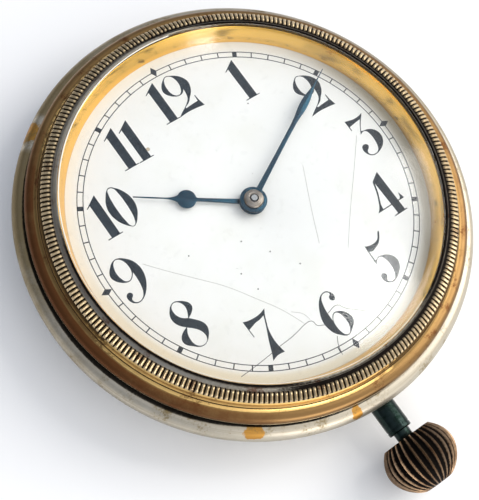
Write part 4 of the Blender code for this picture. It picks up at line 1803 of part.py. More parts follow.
def make_screws():
    """Every screw of the movement and the two that hold it in the case."""
    tip = screw_hole_top() - SEAT_GAP
    for index, at in enumerate(BARREL_SCREWS):
        make_bridge_screw(f"barrel_bridge_screw_{index + 1}", at, BARREL_BRIDGE_BASE_Z, tip)
    for index, at in enumerate(TRAIN_SCREWS):
        make_bridge_screw(f"train_bridge_screw_{index + 1}", at, TRAIN_BRIDGE_BASE_Z, tip)
    make_bridge_screw("balance_cock_screw", COCK_SCREW, COCK_BASE_Z, tip)
    make_bridge_screw("pallet_cock_screw", PALLET_FOOT, PALLET_COCK_BASE_Z, POCKET_ROOF_Z - SEAT_GAP)
    make_bridge_screw("click_screw", CLICK, WINDING_WHEEL_BASE_Z, BRIDGE_TOP_Z - PIVOT_DEPTH - SEAT_GAP)
    head_base = PLATE_TOP_Z + SEAT_GAP
    for index, degrees in enumerate(CASE_SCREW_BEARINGS):
        at = polar(CASE_SCREW_CIRCLE, degrees)
        spans = [
            (CASE_SCREW_HEAD_RADIUS, head_base + SCREW_HEAD_HEIGHT, head_base),
            (SCREW_RADIUS, head_base, PLATE_TOP_Z - CASE_SCREW_LENGTH),
        ]
        screw = turned(f"case_screw_{index + 1}", shaft_profile(spans), BLUED, SCREW_STEPS, centre=at)
        slot = screw_slot(
            f"case_screw_slot_{index + 1}", at, head_base + SCREW_HEAD_HEIGHT - SCREW_SLOT_DEPTH,
            CASE_SCREW_HEAD_RADIUS, upwards=True,
        )
        cut(screw, slot)


def clear_flat_faces():
    """Clears the flat faces of the pieces that were cut or joined."""
    for piece in PARTS.objects:
        if any(modifier.type == "BOOLEAN" for modifier in piece.modifiers):
            planar = piece.modifiers.new("clear_flat_faces", "DECIMATE")
            planar.decimate_type = "DISSOLVE"
            planar.angle_limit = FLAT_ANGLE


def make_clock():
    """Makes every piece of the clock."""
    make_case_band()
    make_back_cover()
    make_milled_bezel()
    make_watch_glass()
    make_reflector_ring()
    make_dial()
    make_stem_sleeve()
    make_winding_stem()
    make_crown()
    make_hour_hand()
    make_minute_hand()
    make_cannon_pinion()
    make_minute_wheel()
    make_hour_wheel()
    make_setting_wheel()
    make_setting_pinion()
    make_intermediate()
    make_centre()
    make_third_and_fourth()
    make_escape()
    make_barrel()
    make_ratchet_wheel()
    make_crown_wheel()
    make_winding_pinion()
    make_sliding_pinion()
    make_click()
    make_click_spring()
    make_pallet_fork()
    make_pallet_cock()
    make_balance_wheel()
    make_balance_staff()
    make_hairspring()
    make_balance_cock()
    make_regulator()
    make_main_plate()
    make_setting_lever()
    make_barrel_bridge()
    make_train_bridge()
    make_screws()
    clear_flat_faces()


make_clock()
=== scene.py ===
"""The looks of the round wind-up travel clock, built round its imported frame.

Lengths are in millimetres in the clock's own frame, with the dial facing +Z and 12 towards +Y,
and each finished mesh is brought to metres as it is placed.
"""

import logging
import math
from collections.abc import Callable
from dataclasses import dataclass
from enum import Enum
from functools import cache

import bmesh
import bpy
from mathutils import Matrix, Vector


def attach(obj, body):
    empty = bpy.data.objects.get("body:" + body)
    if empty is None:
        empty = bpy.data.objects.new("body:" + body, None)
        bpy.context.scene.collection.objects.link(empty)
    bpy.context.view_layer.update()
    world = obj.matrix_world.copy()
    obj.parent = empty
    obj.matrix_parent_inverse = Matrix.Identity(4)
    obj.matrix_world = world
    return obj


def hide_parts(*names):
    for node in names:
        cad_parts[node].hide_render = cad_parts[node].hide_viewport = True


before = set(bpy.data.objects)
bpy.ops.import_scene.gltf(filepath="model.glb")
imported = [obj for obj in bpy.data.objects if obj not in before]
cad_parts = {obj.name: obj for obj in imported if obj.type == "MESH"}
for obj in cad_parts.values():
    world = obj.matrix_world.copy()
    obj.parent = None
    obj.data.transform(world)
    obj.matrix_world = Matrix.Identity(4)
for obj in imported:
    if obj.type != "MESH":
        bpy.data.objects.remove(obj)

Pair = tuple[float, float]
Point = tuple[float, float, float]
Colour = tuple[float, float, float]
Corner = tuple[float, float, bool]
Outline = list[Corner]
Stops = tuple[Pair, ...]
Section = tuple[tuple[float, ...], ...]
Value = "Wire | float"

MM = 0.001
FULL_TURN = 2 * math.pi
SECTORS = 12
WELD = 5e-4
FINE_WELD = 1e-4
HOLE_SIDES = 64
CREASE = math.radians(38)
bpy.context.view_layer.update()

log = logging.getLogger("travel_clock")


def paint(red: float, green: float, blue: float) -> Colour:
    """A colour given as it looks on screen, from 0 to 255, as the shader's linear colour."""
    shares = (channel / 255 for channel in (red, green, blue))
    return tuple(s / 12.92 if s <= 0.04045 else ((s + 0.055) / 1.055) ** 2.4 for s in shares)


def around(bearing: float, stops: Stops) -> float:
    """A value that changes round the clock.

    Args:
        bearing: the bearing in degrees, anticlockwise from 3 o'clock.
        stops: bearings in rising order, each with the value there.

    Returns:
        The value at the bearing, eased between the two stops beside it.
    """
    bearing %= 360
    ring = (*stops, (stops[0][0] + 360, stops[0][1]))
    if bearing < stops[0][0]:
        bearing += 360
    for (low, first), (high, second) in zip(ring, ring[1:]):
        if low <= bearing <= high:
            share = (bearing - low) / (high - low)
            return first + (second - first) * share * share * (3 - 2 * share)
    return stops[-1][1]


def between(start: float, end: float, share: float) -> float:
    """The value at this share of the way from the start to the end."""
    return start + (end - start) * share


def polar(radius: float, degrees: float) -> Pair:
    """The place at this radius and bearing."""
    angle = math.radians(degrees)
    return radius * math.cos(angle), radius * math.sin(angle)


def place_of(point: Vector) -> Point:
    """A point's radius, its height and its bearing in degrees."""
    return math.hypot(point.x, point.y), point.z, math.degrees(math.atan2(point.y, point.x)) % 360


def turned(degrees: float) -> Matrix:
    """A turn round the clock's axis."""
    return Matrix.Rotation(math.radians(degrees), 4, "Z")


# Shader maths


def maths(operation: str, swapped: bool = False) -> Callable[..., "Wire"]:
    """Makes a method of Wire that adds one Math node.

    Args:
        operation: the Math node's operation.
        swapped: whether the wire is the second of the two values.

    Returns:
        The method, which takes the other value.
    """

    def method(wire: "Wire", other: Value) -> "Wire":
        """The wire and the other value, put through the Math node."""
        first, second = (other, wire) if swapped else (wire, other)
        return wire.bench.node("ShaderNodeMath", {"operation": operation}, {0: first, 1: second})

    return method


@dataclass(frozen=True)
class Wire:
    """One output of a shader node, so that shader sums read as plain arithmetic."""

    bench: "Bench"
    socket: bpy.types.NodeSocket

    __add__ = maths("ADD")
    __radd__ = maths("ADD", swapped=True)
    __sub__ = maths("SUBTRACT")
    __rsub__ = maths("SUBTRACT", swapped=True)
    __mul__ = maths("MULTIPLY")
    __rmul__ = maths("MULTIPLY", swapped=True)
    __truediv__ = maths("DIVIDE")
    __rtruediv__ = maths("DIVIDE", swapped=True)
    __pow__ = maths("POWER")
    __rpow__ = maths("POWER", swapped=True)
    most = maths("MAXIMUM")
    least = maths("MINIMUM")

    def __neg__(self) -> "Wire":
        """The value with its sign turned."""
        return self * -1.0

    def rise(self, low: float, high: float) -> "Wire":
        """0 below low, 1 above high and a smooth step between; it falls where high is the smaller."""
        feeds = {"Value": self, "From Min": low, "From Max": high}
        return self.bench.node("ShaderNodeMapRange", {"interpolation_type": "SMOOTHSTEP"}, feeds)

    def ramp(self, stops: tuple[tuple[float, Colour], ...]) -> "Wire":
        """The colour at this value between the stops."""
        return self.bench.node("ShaderNodeValToRGB", {"stops": stops}, {"Fac": self})

    def part(self, name: str) -> "Wire":
        """Another output of the same node."""
        return Wire(self.bench, self.socket.node.outputs[name])


class Bench:
    """Lays out the nodes of one material, or of the world."""

    def __init__(self, name: str, world: bool = False) -> None:
        """Starts a material, or the world, with nothing but its output node.

        Args:
            name: its name.
            world: whether it is the world.
        """
        self.owner = (bpy.data.worlds if world else bpy.data.materials).new(name)
        self.owner.use_nodes = True
        self.tree = self.owner.node_tree
        self.tree.nodes.clear()
        self.output = self.tree.nodes.new("ShaderNodeOutputWorld" if world else "ShaderNodeOutputMaterial")

    def feed(self, socket: bpy.types.NodeSocket, value: "Wire | float | Colour") -> None:
        """Links a wire to a socket or sets the socket's own value.

        Args:
            socket: the input socket.
            value: a wire, or the value that is the same all over.
        """
        if isinstance(value, Wire):
            self.tree.links.new(value.socket, socket)
        elif isinstance(value, tuple) and len(socket.default_value) > len(value):
            socket.default_value = (*value, 1.0)
        else:
            socket.default_value = value

    def node(
        self, kind: str, settings: dict | None = None, feeds: dict | None = None, out: int | str = 0
    ) -> Wire:
        """Adds one node.

        Args:
            kind: the node's type.
            settings: its own settings, set first; "stops" are the stops of a colour ramp.
            feeds: the value or wire for each of its inputs, by name or number.
            out: the output that is wanted.

        Returns:
            The wire from that output.
        """
        made = self.tree.nodes.new(kind)
        for key, value in (settings or {}).items():
            if key != "stops":
                setattr(made, key, value)
                continue
            elements = made.color_ramp.elements
            for place, (at, colour) in enumerate(value):
                element = elements[place] if place < len(elements) else elements.new(at)
                element.position = at
                element.color = (*colour, 1.0)
        for key, value in (feeds or {}).items():
            self.feed(made.inputs[key], value)
        return Wire(self, made.outputs[out])

    def vector(self, operation: str, feeds: dict, out: int | str = 0) -> Wire:
        """Adds one Vector Math node."""
        return self.node("ShaderNodeVectorMath", {"operation": operation}, feeds, out)

    def where(self) -> Wire:
        """The point on the piece, in millimetres."""
        point = self.node("ShaderNodeTexCoord", out="Object")
        return self.vector("SCALE", {0: point, "Scale": 1 / MM})

    def noise(self, per_mm: float, detail: float = 3.0, at: Wire | None = None) -> Wire:
        """Cloudy noise, 0 to 1, with this many lumps to the millimetre."""
        feeds = {"Vector": at or self.where(), "Scale": per_mm, "Detail": detail, "Roughness": 0.6}
        return self.node("ShaderNodeTexNoise", None, feeds)

    def specks(self, per_mm: float, size: float, share: float) -> Wire:
        """Scattered round specks.

        Args:
            per_mm: how many cells that may hold a speck lie along a millimetre.
            size: the radius of a speck, as a share of its cell.
            share: the share of the cells that hold one.

        Returns:
            1 on a speck, fading to 0 at its edge, and 0 elsewhere.
        """
        cell = self.node("ShaderNodeTexVoronoi", None, {"Vector": self.where(), "Scale": per_mm})
        lot = self.node("ShaderNodeSeparateColor", None, {0: cell.part("Color")})
        spread = lot.part("Green") * 0.7 + 0.3
        return cell.rise(size, size * 0.55) * lot.rise(share + 0.001, share) * spread.rise(0.1, 0.9)

    def mark(self, name: str) -> Wire:
        """A number that the mesh carries at each of its points."""
        return self.node("ShaderNodeAttribute", {"attribute_name": name}, out="Fac")

    def blend(self, share: Value, first: Wire | Colour, second: Wire | Colour, way: str = "MIX") -> Wire:
        """Two colours mixed, from the first at share 0 to the second at share 1."""
        settings = {"data_type": "RGBA", "blend_type": way, "clamp_factor": True}
        return self.node("ShaderNodeMix", settings, {0: share, 6: first, 7: second}, out=2)

    def round_lines(self, per_mm: float) -> Wire:
        """Noise, 0 to 1, drawn out round the clock's axis, as a lathe or a polishing cloth leaves it.

        Args:
            per_mm: how many lines lie along a millimetre.

        Returns:
            The wire that carries it.
        """
        stretch = 0.5
        split = self.node("ShaderNodeSeparateXYZ", None, {0: self.where()})
        across, up, height = split.part("X"), split.part("Y"), split.part("Z")
        radius = (across * across + up * up) ** 0.5 + 0.001
        feeds = {0: radius * per_mm, 1: height * per_mm, 2: across / radius * stretch}
        at = self.node("ShaderNodeCombineXYZ", None, feeds)
        inputs = {"Vector": at, "W": up / radius * stretch, "Scale": 1.0, "Detail": 4.0, "Roughness": 0.65}
        return self.node("ShaderNodeTexNoise", {"noise_dimensions": "4D"}, inputs)

    def relief(self, height: Wire, depth: float) -> Wire:
        """The normal of a surface that is rough by this depth in millimetres."""
        return self.node("ShaderNodeBump", None, {"Strength": 1.0, "Distance": depth * MM, "Height": height})

    def surface(self, **feeds: "Wire | float | Colour") -> bpy.types.Material:
        """Ends the material in a Principled shader; input names have _ for their spaces."""
        named = {key.replace("_", " "): value for key, value in feeds.items()}
        return self.end(self.node("ShaderNodeBsdfPrincipled", None, named))

    def end(self, shader: Wire) -> "bpy.types.Material | bpy.types.World":
        """Links the last shader to the output and gives the material or the world back."""
        self.tree.links.new(shader.socket, self.output.inputs["Surface"])
        return self.owner


# Finishes


class Zone(float, Enum):
    """Places along the profile of a turned case piece, as the number that its mesh carries."""

    HIDDEN = 0.0
    BORE = 0.08
    LIP = 0.2
    LIP_FOOT = 0.3
    REEDS = 0.4
    GROOVE = 0.5
    COVE = 0.56
    OVOLO = 0.66
    ROLL = 0.84
    ARRIS = 0.9
    FLANGE = 1.0

    def holds(self, number: float) -> bool:
        """Whether a number that a mesh carries belongs to this place."""
        return abs(number - self.value) < 0.05


@dataclass(frozen=True)
class Metal:
    """A metal that has aged: patches of tarnish, fine dirt, pits and scratches, with painted shade where its
    mesh marks it.
    """

    name: str
    colour: Colour
    tarnish: Colour
    # The dark colour of dirt, also laid as painted shade where the mesh marks it.
    dirt_and_shade: Colour = (0.02, 0.014, 0.01)
    roughness: float = 0.3
    tarnish_share: float = 0.4
    patches: float = 0.25
    dirt_share: float = 0.12
    lines: float = 0.35
    lines_per_mm: float = 9.0
    pits: float = 0.004
    metallic: float = 1.0
    # How strongly the marked dirt and painted shade show, and the mark's values over which they come in.
    grime: float = 0.0
    grime_and_shade_from: Pair = (0.35, 1.0)

    def ground(self, bench: Bench) -> "Wire | Colour":
        """The clean colour."""
        return self.colour

    def material(self) -> bpy.types.Material:
        """Lays out the finish.

        Returns:
            The finished material.
        """
        bench = Bench(self.name)
        cloud = bench.noise(self.patches, 6.0)
        fine = bench.noise(self.patches * 14, 5.0)
        drawn = bench.round_lines(self.lines_per_mm)
        cloudy = cloud * 0.7 + fine * 0.3 + drawn * 0.15
        stain = cloudy.rise(0.72 - self.tarnish_share * 0.5, 0.72)
        # The mark read here is tarnish laid by bearing; on the case and bezel it is heaviest on the left, so it
        # also paints that side's shade.
        stain = stain.most((bench.mark("tarnish") + (cloudy - 0.55) * 1.4).rise(0.1, 0.9))
        base = bench.blend(stain * 0.85, self.ground(bench), self.tarnish)
        streak = (drawn - 0.5) * self.lines
        base = bench.blend(streak.most(0.0) * 2, base, (1.0, 1.0, 1.0), "SOFT_LIGHT")
        base = bench.blend((-streak).most(0.0) * 4, base, self.tarnish)
        grime = bench.noise(1.7, 8.0).rise(0.78 - self.dirt_share, 0.8 - self.dirt_share / 2)
        if self.grime:
            # The marked grime is dirt in hollows and crust, and also painted shadow in the gap under the bezel
            # and painted shade on the far side of the bezel's lip.
            caked = bench.mark("grime") + (bench.noise(2.6, 6.0) - 0.5) * 0.5
            grime = grime.most(caked.rise(*self.grime_and_shade_from) * self.grime)
        base = bench.blend(grime, base, self.dirt_and_shade)
        rough = self.roughness + stain * 0.12 + grime * 0.3 + (drawn - 0.5) * 0.12
        height = drawn * self.lines * 0.5 + fine * 0.5 - grime * 0.5
        return bench.surface(
            Base_Color=base,
            Metallic=self.metallic - grime * 0.06,
            Roughness=rough,
            Normal=bench.relief(height, self.pits),
        )


@dataclass(frozen=True)
class BandedMetal(Metal):
    """An aged metal whose colour changes along the profile of the piece."""

    bands: tuple[tuple[Zone, Colour], ...] = ()
    worn: Colour = (0.3, 0.18, 0.05)

    def ground(self, bench: Bench) -> Wire:
        """The colour at this place of the profile, with the plating worn through where it is marked."""
        bare = bench.mark("wear") + (bench.noise(1.3, 5.0) - 0.5) * 0.9
        return bench.blend(bare.rise(0.42, 0.56), bench.mark("zone").ramp(self.bands), self.worn)


@dataclass(frozen=True)
class Enamel:
    """White fired enamel with faint clouds, pinholes and specks under a glossy skin, with painted shade and
    gilt bounce light at its margin.
    """

    name: str
    colour: Colour
    cloud: Colour
    speck: Colour
    # The margin colour is cream that also stands for painted shade and gilt bounce light; the shade colour is
    # painted shadow.
    margin: Colour
    margin_from: Pair = (29.4, 30.6)
    shade: Colour = paint(150, 143, 122)

    def material(self) -> bpy.types.Material:
        """Lays out the finish.

        Returns:
            The finished material.
        """
        bench = Bench(self.name)
        base = bench.blend(bench.noise(0.11, 5.0).rise(0.42, 0.75) * 0.6, self.colour, self.cloud)
        flat = bench.vector("MULTIPLY", {0: bench.where(), 1: (1.0, 1.0, 0.0)})
        reach = bench.vector("LENGTH", {0: flat}, "Value")
        split = bench.node("ShaderNodeSeparateXYZ", None, {0: flat})
        # Cream margin, most on the near side: partly aged enamel, partly painted shade and painted bounce light
        # from the gilt ring.
        low = (split.part("X") * -0.5 - split.part("Y") * 0.87) / self.margin_from[1]
        aged_shade_and_bounce = reach.rise(*self.margin_from) * (low.rise(0.0, 0.9) * 0.8 + 0.15)
        base = bench.blend(aged_shade_and_bounce, base, self.margin)
        # Painted shadow of the gilt ring on the right of the margin, tinted olive as painted bounce light.
        right = (split.part("X") * 0.966 - split.part("Y") * 0.26) / self.margin_from[1]
        base = bench.blend(reach.rise(28.0, 31.2) * right.rise(0.45, 1.0) * 0.9, base, self.shade)
        dust = bench.specks(0.9, 0.16, 0.06) * 0.55
        pin = bench.specks(0.33, 0.035, 0.25)
        base = bench.blend(dust, base, self.cloud)
        base = bench.blend(pin, base, self.speck)
        return bench.surface(
            Base_Color=base,
            Roughness=0.22 + bench.noise(0.8, 5.0) * 0.14,
            Coat_Weight=0.25,
            Coat_Roughness=0.06,
            Normal=bench.relief(bench.noise(0.35, 4.0), 0.02),
        )


@dataclass(frozen=True)
class Ink:
    """Printed or fired paint, worn through in small light specks."""

    name: str
    colour: Colour
    bare: Colour
    worn: float = 0.3
    roughness: float = 0.4

    def material(self) -> bpy.types.Material:
        """Lays out the finish.

        Returns:
            The finished material.
        """
        bench = Bench(self.name)
        cloud = bench.noise(1.4, 6.0)
        flecks = bench.specks(7.0, 0.3, self.worn) * bench.noise(0.6, 4.0).rise(0.4, 0.6)
        base = bench.blend((cloud - 0.35) * 0.4, self.colour, self.bare)
        return bench.surface(
            Base_Color=bench.blend(flecks * 0.75, base, self.bare),
            Roughness=self.roughness + cloud * 0.2,
            Specular_IOR_Level=0.25,
            Normal=bench.relief(cloud + flecks, 0.004),
        )


@dataclass(frozen=True)
class ClearGlass:
    """Clear glass that shows what is behind it and carries soft reflections."""

    name: str
    colour: Colour
    sheen: float = 0.58
    most: float = 0.16

    def material(self) -> bpy.types.Material:
        """Lays out the finish.

        Returns:
            The finished material.
        """
        bench = Bench(self.name)
        facing = bench.node("ShaderNodeFresnel", None, {"IOR": 1.45})
        clear = bench.node("ShaderNodeBsdfTransparent", None, {"Color": self.colour})
        shine = bench.node("ShaderNodeBsdfGlossy", None, {"Color": (1.0, 1.0, 1.0), "Roughness": 0.085})
        share = (facing * self.sheen).least(self.most)
        return bench.end(bench.node("ShaderNodeMixShader", None, {0: share, 1: clear, 2: shine}))


class Stock(Enum):
    """Every finish on the clock."""

    # The fifth colour, the margin's cream, is partly painted shade and gilt bounce light.
    ENAMEL = Enamel(
        "white_enamel", paint(251, 251, 249), paint(242, 242, 235), paint(96, 84, 70), paint(236, 229, 208)
    )
    INK = Ink("numeral_ink", paint(9, 22, 34), paint(112, 128, 138), 0.5)
    TRACK_INK = Ink("track_ink", paint(26, 34, 44), paint(140, 146, 150), 0.2)
    DARK_CRACK = Ink("dark_crack", paint(58, 54, 52), paint(150, 146, 140), 0.2, 0.6)
    FAINT_CRACK = Ink("faint_crack", paint(158, 156, 150), paint(206, 204, 196), 0.3, 0.6)
    STAIN = Ink("brown_stain", paint(196, 180, 156), paint(228, 220, 206), 0.3, 0.5)
    BLUED = Metal(
        "blued_steel_hands", paint(32, 70, 88), paint(38, 48, 62), paint(130, 138, 136), tarnish_share=0.5,
        patches=0.12, dirt_share=0.1, lines=0.1, pits=0.002, metallic=0.9,
    )
    CAP = Metal(
        "grey_cap", paint(150, 142, 134), paint(112, 100, 88),
        lines=0.7, lines_per_mm=5.0, patches=0.6, dirt_share=0.1,
    )
    GILT_RING = Metal(
        "gilt_reflector", paint(244, 194, 94), paint(220, 158, 72), paint(222, 166, 80),
        roughness=0.2, tarnish_share=0.1, patches=0.12, dirt_share=0.0, lines=0.2, lines_per_mm=5.0,
    )
    BEZEL = BandedMetal(
        "bezel_brass", paint(150, 112, 62), paint(92, 52, 28), paint(22, 17, 14),
        roughness=0.34, tarnish_share=0.2, patches=0.35, dirt_share=0.05, lines=0.3, pits=0.01,
        grime=1.0, grime_and_shade_from=(0.2, 0.75), worn=paint(238, 196, 122),
        bands=(
            (Zone.HIDDEN, paint(60, 46, 30)),
            (Zone.BORE, paint(120, 114, 102)),
            (Zone.LIP, paint(168, 162, 148)),
            (Zone.LIP_FOOT, paint(158, 152, 140)),
            (Zone.REEDS, paint(204, 182, 144)),
            (Zone.GROOVE, paint(46, 36, 26)),
            (Zone.COVE, paint(152, 124, 76)),
            (Zone.OVOLO, paint(140, 110, 68)),
            (Zone.ROLL, paint(122, 94, 62)),
            # Painted highlight along the arris.
            (Zone.ARRIS, paint(232, 212, 170)),
            # Painted shadow on the flange's side, in the gap above the band.
            (Zone.FLANGE, paint(24, 20, 16)),
        ),
    )
    BAND = BandedMetal(
        "case_nickel", paint(160, 152, 138), paint(124, 106, 68), paint(20, 17, 13),
        roughness=0.42, tarnish_share=0.25, patches=0.2, dirt_share=0.06, lines=0.7, lines_per_mm=3.5,
        pits=0.005, grime=0.97, worn=paint(176, 128, 60),
        bands=(
            (Zone.HIDDEN, paint(120, 110, 96)),
            (Zone.BORE, paint(120, 108, 90)),
            (Zone.LIP, paint(174, 166, 150)),
            (Zone.COVE, paint(186, 178, 162)),
            (Zone.OVOLO, paint(154, 146, 128)),
            (Zone.FLANGE, paint(200, 194, 180)),
        ),
    )
    CROWN = Metal(
        "crown_bronze", paint(164, 136, 108), paint(112, 84, 62), paint(14, 10, 8),
        roughness=0.34, tarnish_share=0.4, patches=0.5, dirt_share=0.14, lines=0.0, pits=0.006, grime=1.0,
        grime_and_shade_from=(0.25, 0.75),
    )
    SLEEVE = Metal(
        "sleeve_dark_steel", paint(40, 50, 48), paint(12, 28, 20), paint(12, 12, 10),
        roughness=0.2, tarnish_share=0.4, patches=0.7, dirt_share=0.12, lines=0.0,
    )
    # Painted highlight: pale threads stand for the light caught along the glass's edge.
    GLASS_EDGE_GLINT = Ink("painted_edge_glint", paint(238, 234, 222), paint(170, 164, 150), 0.25, 0.35)
    GLASS = ClearGlass("watch_glass", (0.992, 0.995, 0.99))
    BRASS = Metal("movement_brass", paint(206, 170, 104), paint(170, 128, 70), lines=0.15)
    NICKEL = Metal("back_nickel", paint(186, 182, 172), paint(150, 132, 104), lines=0.6, lines_per_mm=3.0)
    STEEL = Metal("movement_steel", paint(178, 180, 182), paint(132, 130, 126), lines=0.15)
    BLUE_SCREW = Metal("blued_screws", paint(58, 74, 128), paint(44, 46, 84), lines=0.1)


@cache
def material_of(stock: Stock) -> bpy.types.Material:
    """The material of a finish, made once."""
    return stock.value.material()


# Meshes


def fit(
    mesh: bpy.types.Mesh, name: str, stock: Stock, body: str, node: str | None = None
) -> None:
    """Puts a finished mesh on the clock.

    Args:
        mesh: the mesh in metres.
        name: the piece's name.
        stock: its finish.
        body: the CAD body that it moves with.
        node: the CAD node that it stands for.
    """
    mesh.materials.clear()
    mesh.materials.append(material_of(stock))
    piece = bpy.data.objects.new(name, mesh)
    bpy.context.scene.collection.objects.link(piece)
    if node:
        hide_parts(node)
    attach(piece, body)
    log.info("%s: %d points", name, len(mesh.vertices))


@dataclass(frozen=True)
class Station:
    """One point of a turned profile."""

    radius: float
    height: float
    zone: float = Zone.HIDDEN
    rounding: float = 0.0
    ridge: float = 0.0


def stations(section: Section) -> list[Station]:
    """The points of a profile from a table of each one's radius, height, zone and rounding."""
    return [Station(*point) for point in section]


def quarter(centre: Pair, radii: Pair, turn: Pair, zones: Pair, count: int) -> list[Station]:
    """Points along part of an ellipse in a profile.

    Args:
        centre: its radius and height.
        radii: its half widths along the radius and the height.
        turn: the angles where it starts and ends, in degrees.
        zones: the zone numbers at its start and end.
        count: how many steps it has.

    Returns:
        The stations, both ends among them.
    """
    found = []
    for step in range(count + 1):
        share = step / count
        angle = math.radians(between(*turn, share))
        radius = centre[0] + radii[0] * math.cos(angle)
        found.append(Station(radius, centre[1] + radii[1] * math.sin(angle), between(*zones, share)))
    return found


class Blank:
    """A mesh in work, in millimetres."""

    def __init__(self) -> None:
        """Starts an empty mesh whose points can carry marks."""
        self.work = bmesh.new()
        layers = self.work.verts.layers.float
        self.marks = {name: layers.new(name) for name in ("zone", "grime", "ridge", "wear", "tarnish")}

    def turn(self, profile: list[Station], steps: int, sectors: int = SECTORS, closed: bool = True) -> "Blank":
        """Spins a profile round the Z axis.

        Args:
            profile: the profile's points.
            steps: how many steps each sector has.
            sectors: how many equal sectors make the full turn.
            closed: whether the last point is joined to the first.

        Returns:
            The blank itself.
        """
        spun = bmesh.new()
        layers = {name: spun.verts.layers.float.new(name) for name in self.marks}
        corners = []
        for station in profile:
            corner = spun.verts.new((station.radius, 0.0, station.height))
            corner[layers["zone"]] = station.zone
            corner[layers["ridge"]] = station.ridge
            corners.append(corner)
        ends = corners[1:] + corners[:1] if closed else corners[1:]
        for first, second in zip(corners, ends):
            spun.edges.new((first, second))
        for corner, station in zip(corners, profile):
            if station.rounding:
                bmesh.ops.bevel(
                    spun, geom=[corner], offset=station.rounding, offset_type="OFFSET",
                    segments=3, profile=0.5, affect="VERTICES", material=-1,
                )
        bmesh.ops.spin(
            spun, geom=spun.verts[:] + spun.edges[:], cent=(0, 0, 0), axis=(0, 0, 1), dvec=(0, 0, 0),
            angle=FULL_TURN / sectors, steps=steps, use_merge=False, use_duplicate=False,
        )
        sector = spun.verts[:] + spun.edges[:] + spun.faces[:]
        for index in range(1, sectors):
            copy = bmesh.ops.duplicate(spun, geom=sector)["geom"]
            matrix = Matrix.Rotation(FULL_TURN * index / sectors, 3, "Z")
            moved = [item for item in copy if isinstance(item, bmesh.types.BMVert)]
            bmesh.ops.rotate(spun, verts=moved, cent=(0, 0, 0), matrix=matrix)
        bmesh.ops.remove_doubles(spun, verts=spun.verts, dist=WELD)
        return self.take(spun)

    def take(self, other: bmesh.types.BMesh) -> "Blank":
        """Adds another mesh in work to this one and drops it.

        Args:
            other: the mesh in work that is used up.

        Returns:
            The blank itself.
        """
        mesh = bpy.data.meshes.new("taken")
        other.to_mesh(mesh)
        other.free()
        self.work.from_mesh(mesh)
        bpy.data.meshes.remove(mesh)
        return self

    def block(self, size: Point, at: Matrix) -> None:
        """Adds a box.

        Args:
            size: its length on each axis.
            at: its turn and the place of its middle.
        """
        made = bmesh.ops.create_cube(self.work, size=1.0)["verts"]
        bmesh.ops.scale(self.work, verts=made, vec=size)
        bmesh.ops.transform(self.work, verts=made, matrix=at)

    def cone(self, radii: Pair, depth: float, at: Matrix, sides: int) -> "Blank":
        """Adds a closed cone, or a cylinder where both radii are the same.

        Args:
            radii: the radii of its lower and upper end.
            depth: its height.
            at: its turn and the place of its middle.
            sides: how many sides it has.

        Returns:
            The blank itself.
        """
        bmesh.ops.create_cone(
            self.work, cap_ends=True, segments=sides, radius1=radii[0], radius2=radii[1], depth=depth, matrix=at
        )
        return self

    def post(self, radius: float, ends: Pair, centre: Pair, sides: int) -> "Blank":
        """Adds an upright cylinder between two heights."""
        at = Matrix.Translation((*centre, sum(ends) / 2))
        return self.cone((radius, radius), ends[1] - ends[0], at, sides)

    def mesh(self, name: str, placed: Matrix | None = None) -> bpy.types.Mesh:
        """Turns the faces outwards, smooths them and ends the work.

        Args:
            name: the mesh's name.
            placed: the turn and the shift that bring it to its place.

        Returns:
            The mesh in metres.
        """
        work = self.work
        bmesh.ops.recalc_face_normals(work, faces=work.faces)
        if placed:
            bmesh.ops.transform(work, verts=work.verts, matrix=placed)
        bmesh.ops.scale(work, verts=work.verts, vec=(MM, MM, MM))
        for face in work.faces:
            face.smooth = True
        for edge in work.edges:
            edge.smooth = edge.calc_face_angle(0.0) < CREASE
        mesh = bpy.data.meshes.new(name)
        work.to_mesh(mesh)
        work.free()
        return mesh


def evaluated(piece: bpy.types.Object) -> bpy.types.Mesh:
    """The mesh of a curve, or of an object with its modifiers applied."""
    bpy.context.view_layer.update()
    return bpy.data.meshes.new_from_object(piece.evaluated_get(bpy.context.evaluated_depsgraph_get()))


def drilled(mesh: bpy.types.Mesh, holes: list[tuple[float, Matrix, float]]) -> bpy.types.Mesh:
    """Cuts round holes in a mesh.

    Args:
        mesh: the mesh in metres.
        holes: for each hole its radius, the place of its middle and its length, in millimetres.

    Returns:
        The mesh with the holes in it.
    """
    body = bpy.data.objects.new("drilled", mesh)
    tools = []
    for radius, at, length in holes:
        tool = Blank().cone((radius, radius), length, at, HOLE_SIDES).mesh("tool")
        tools.append(bpy.data.objects.new("tool", tool))
    for piece in (body, *tools):
        bpy.context.scene.collection.objects.link(piece)
    for tool in tools:
        cut = body.modifiers.new("cut", "BOOLEAN")
        cut.object, cut.solver, cut.operation = tool, "EXACT", "DIFFERENCE"
    result = evaluated(body)
    for piece in (body, *tools):
        bpy.data.objects.remove(piece)
    return result


def drawn(curve: bpy.types.Curve, lines: list[Outline], height: float) -> Blank:
    """Draws lines in a curve and makes it a mesh in work.

    Args:
        curve: the new curve, with its own settings made.
        lines: the lines' points, each with whether it is a corner.
        height: the height that they lie at.

    Returns:
        The mesh in work.
    """
    for line in lines:
        spline = curve.splines.new("BEZIER")
        spline.use_cyclic_u = curve.dimensions == "2D"
        spline.bezier_points.add(len(line) - 1)
        for point, (x, y, corner) in zip(spline.bezier_points, line):
            point.co = (x, y, height)
            point.handle_left_type = point.handle_right_type = "VECTOR" if corner else "AUTO"
    piece = bpy.data.objects.new(curve.name, curve)
    bpy.context.scene.collection.objects.link(piece)
    shape = evaluated(piece)
    bpy.data.objects.remove(piece)
    blank = Blank()
    blank.work.from_mesh(shape)
    return blank


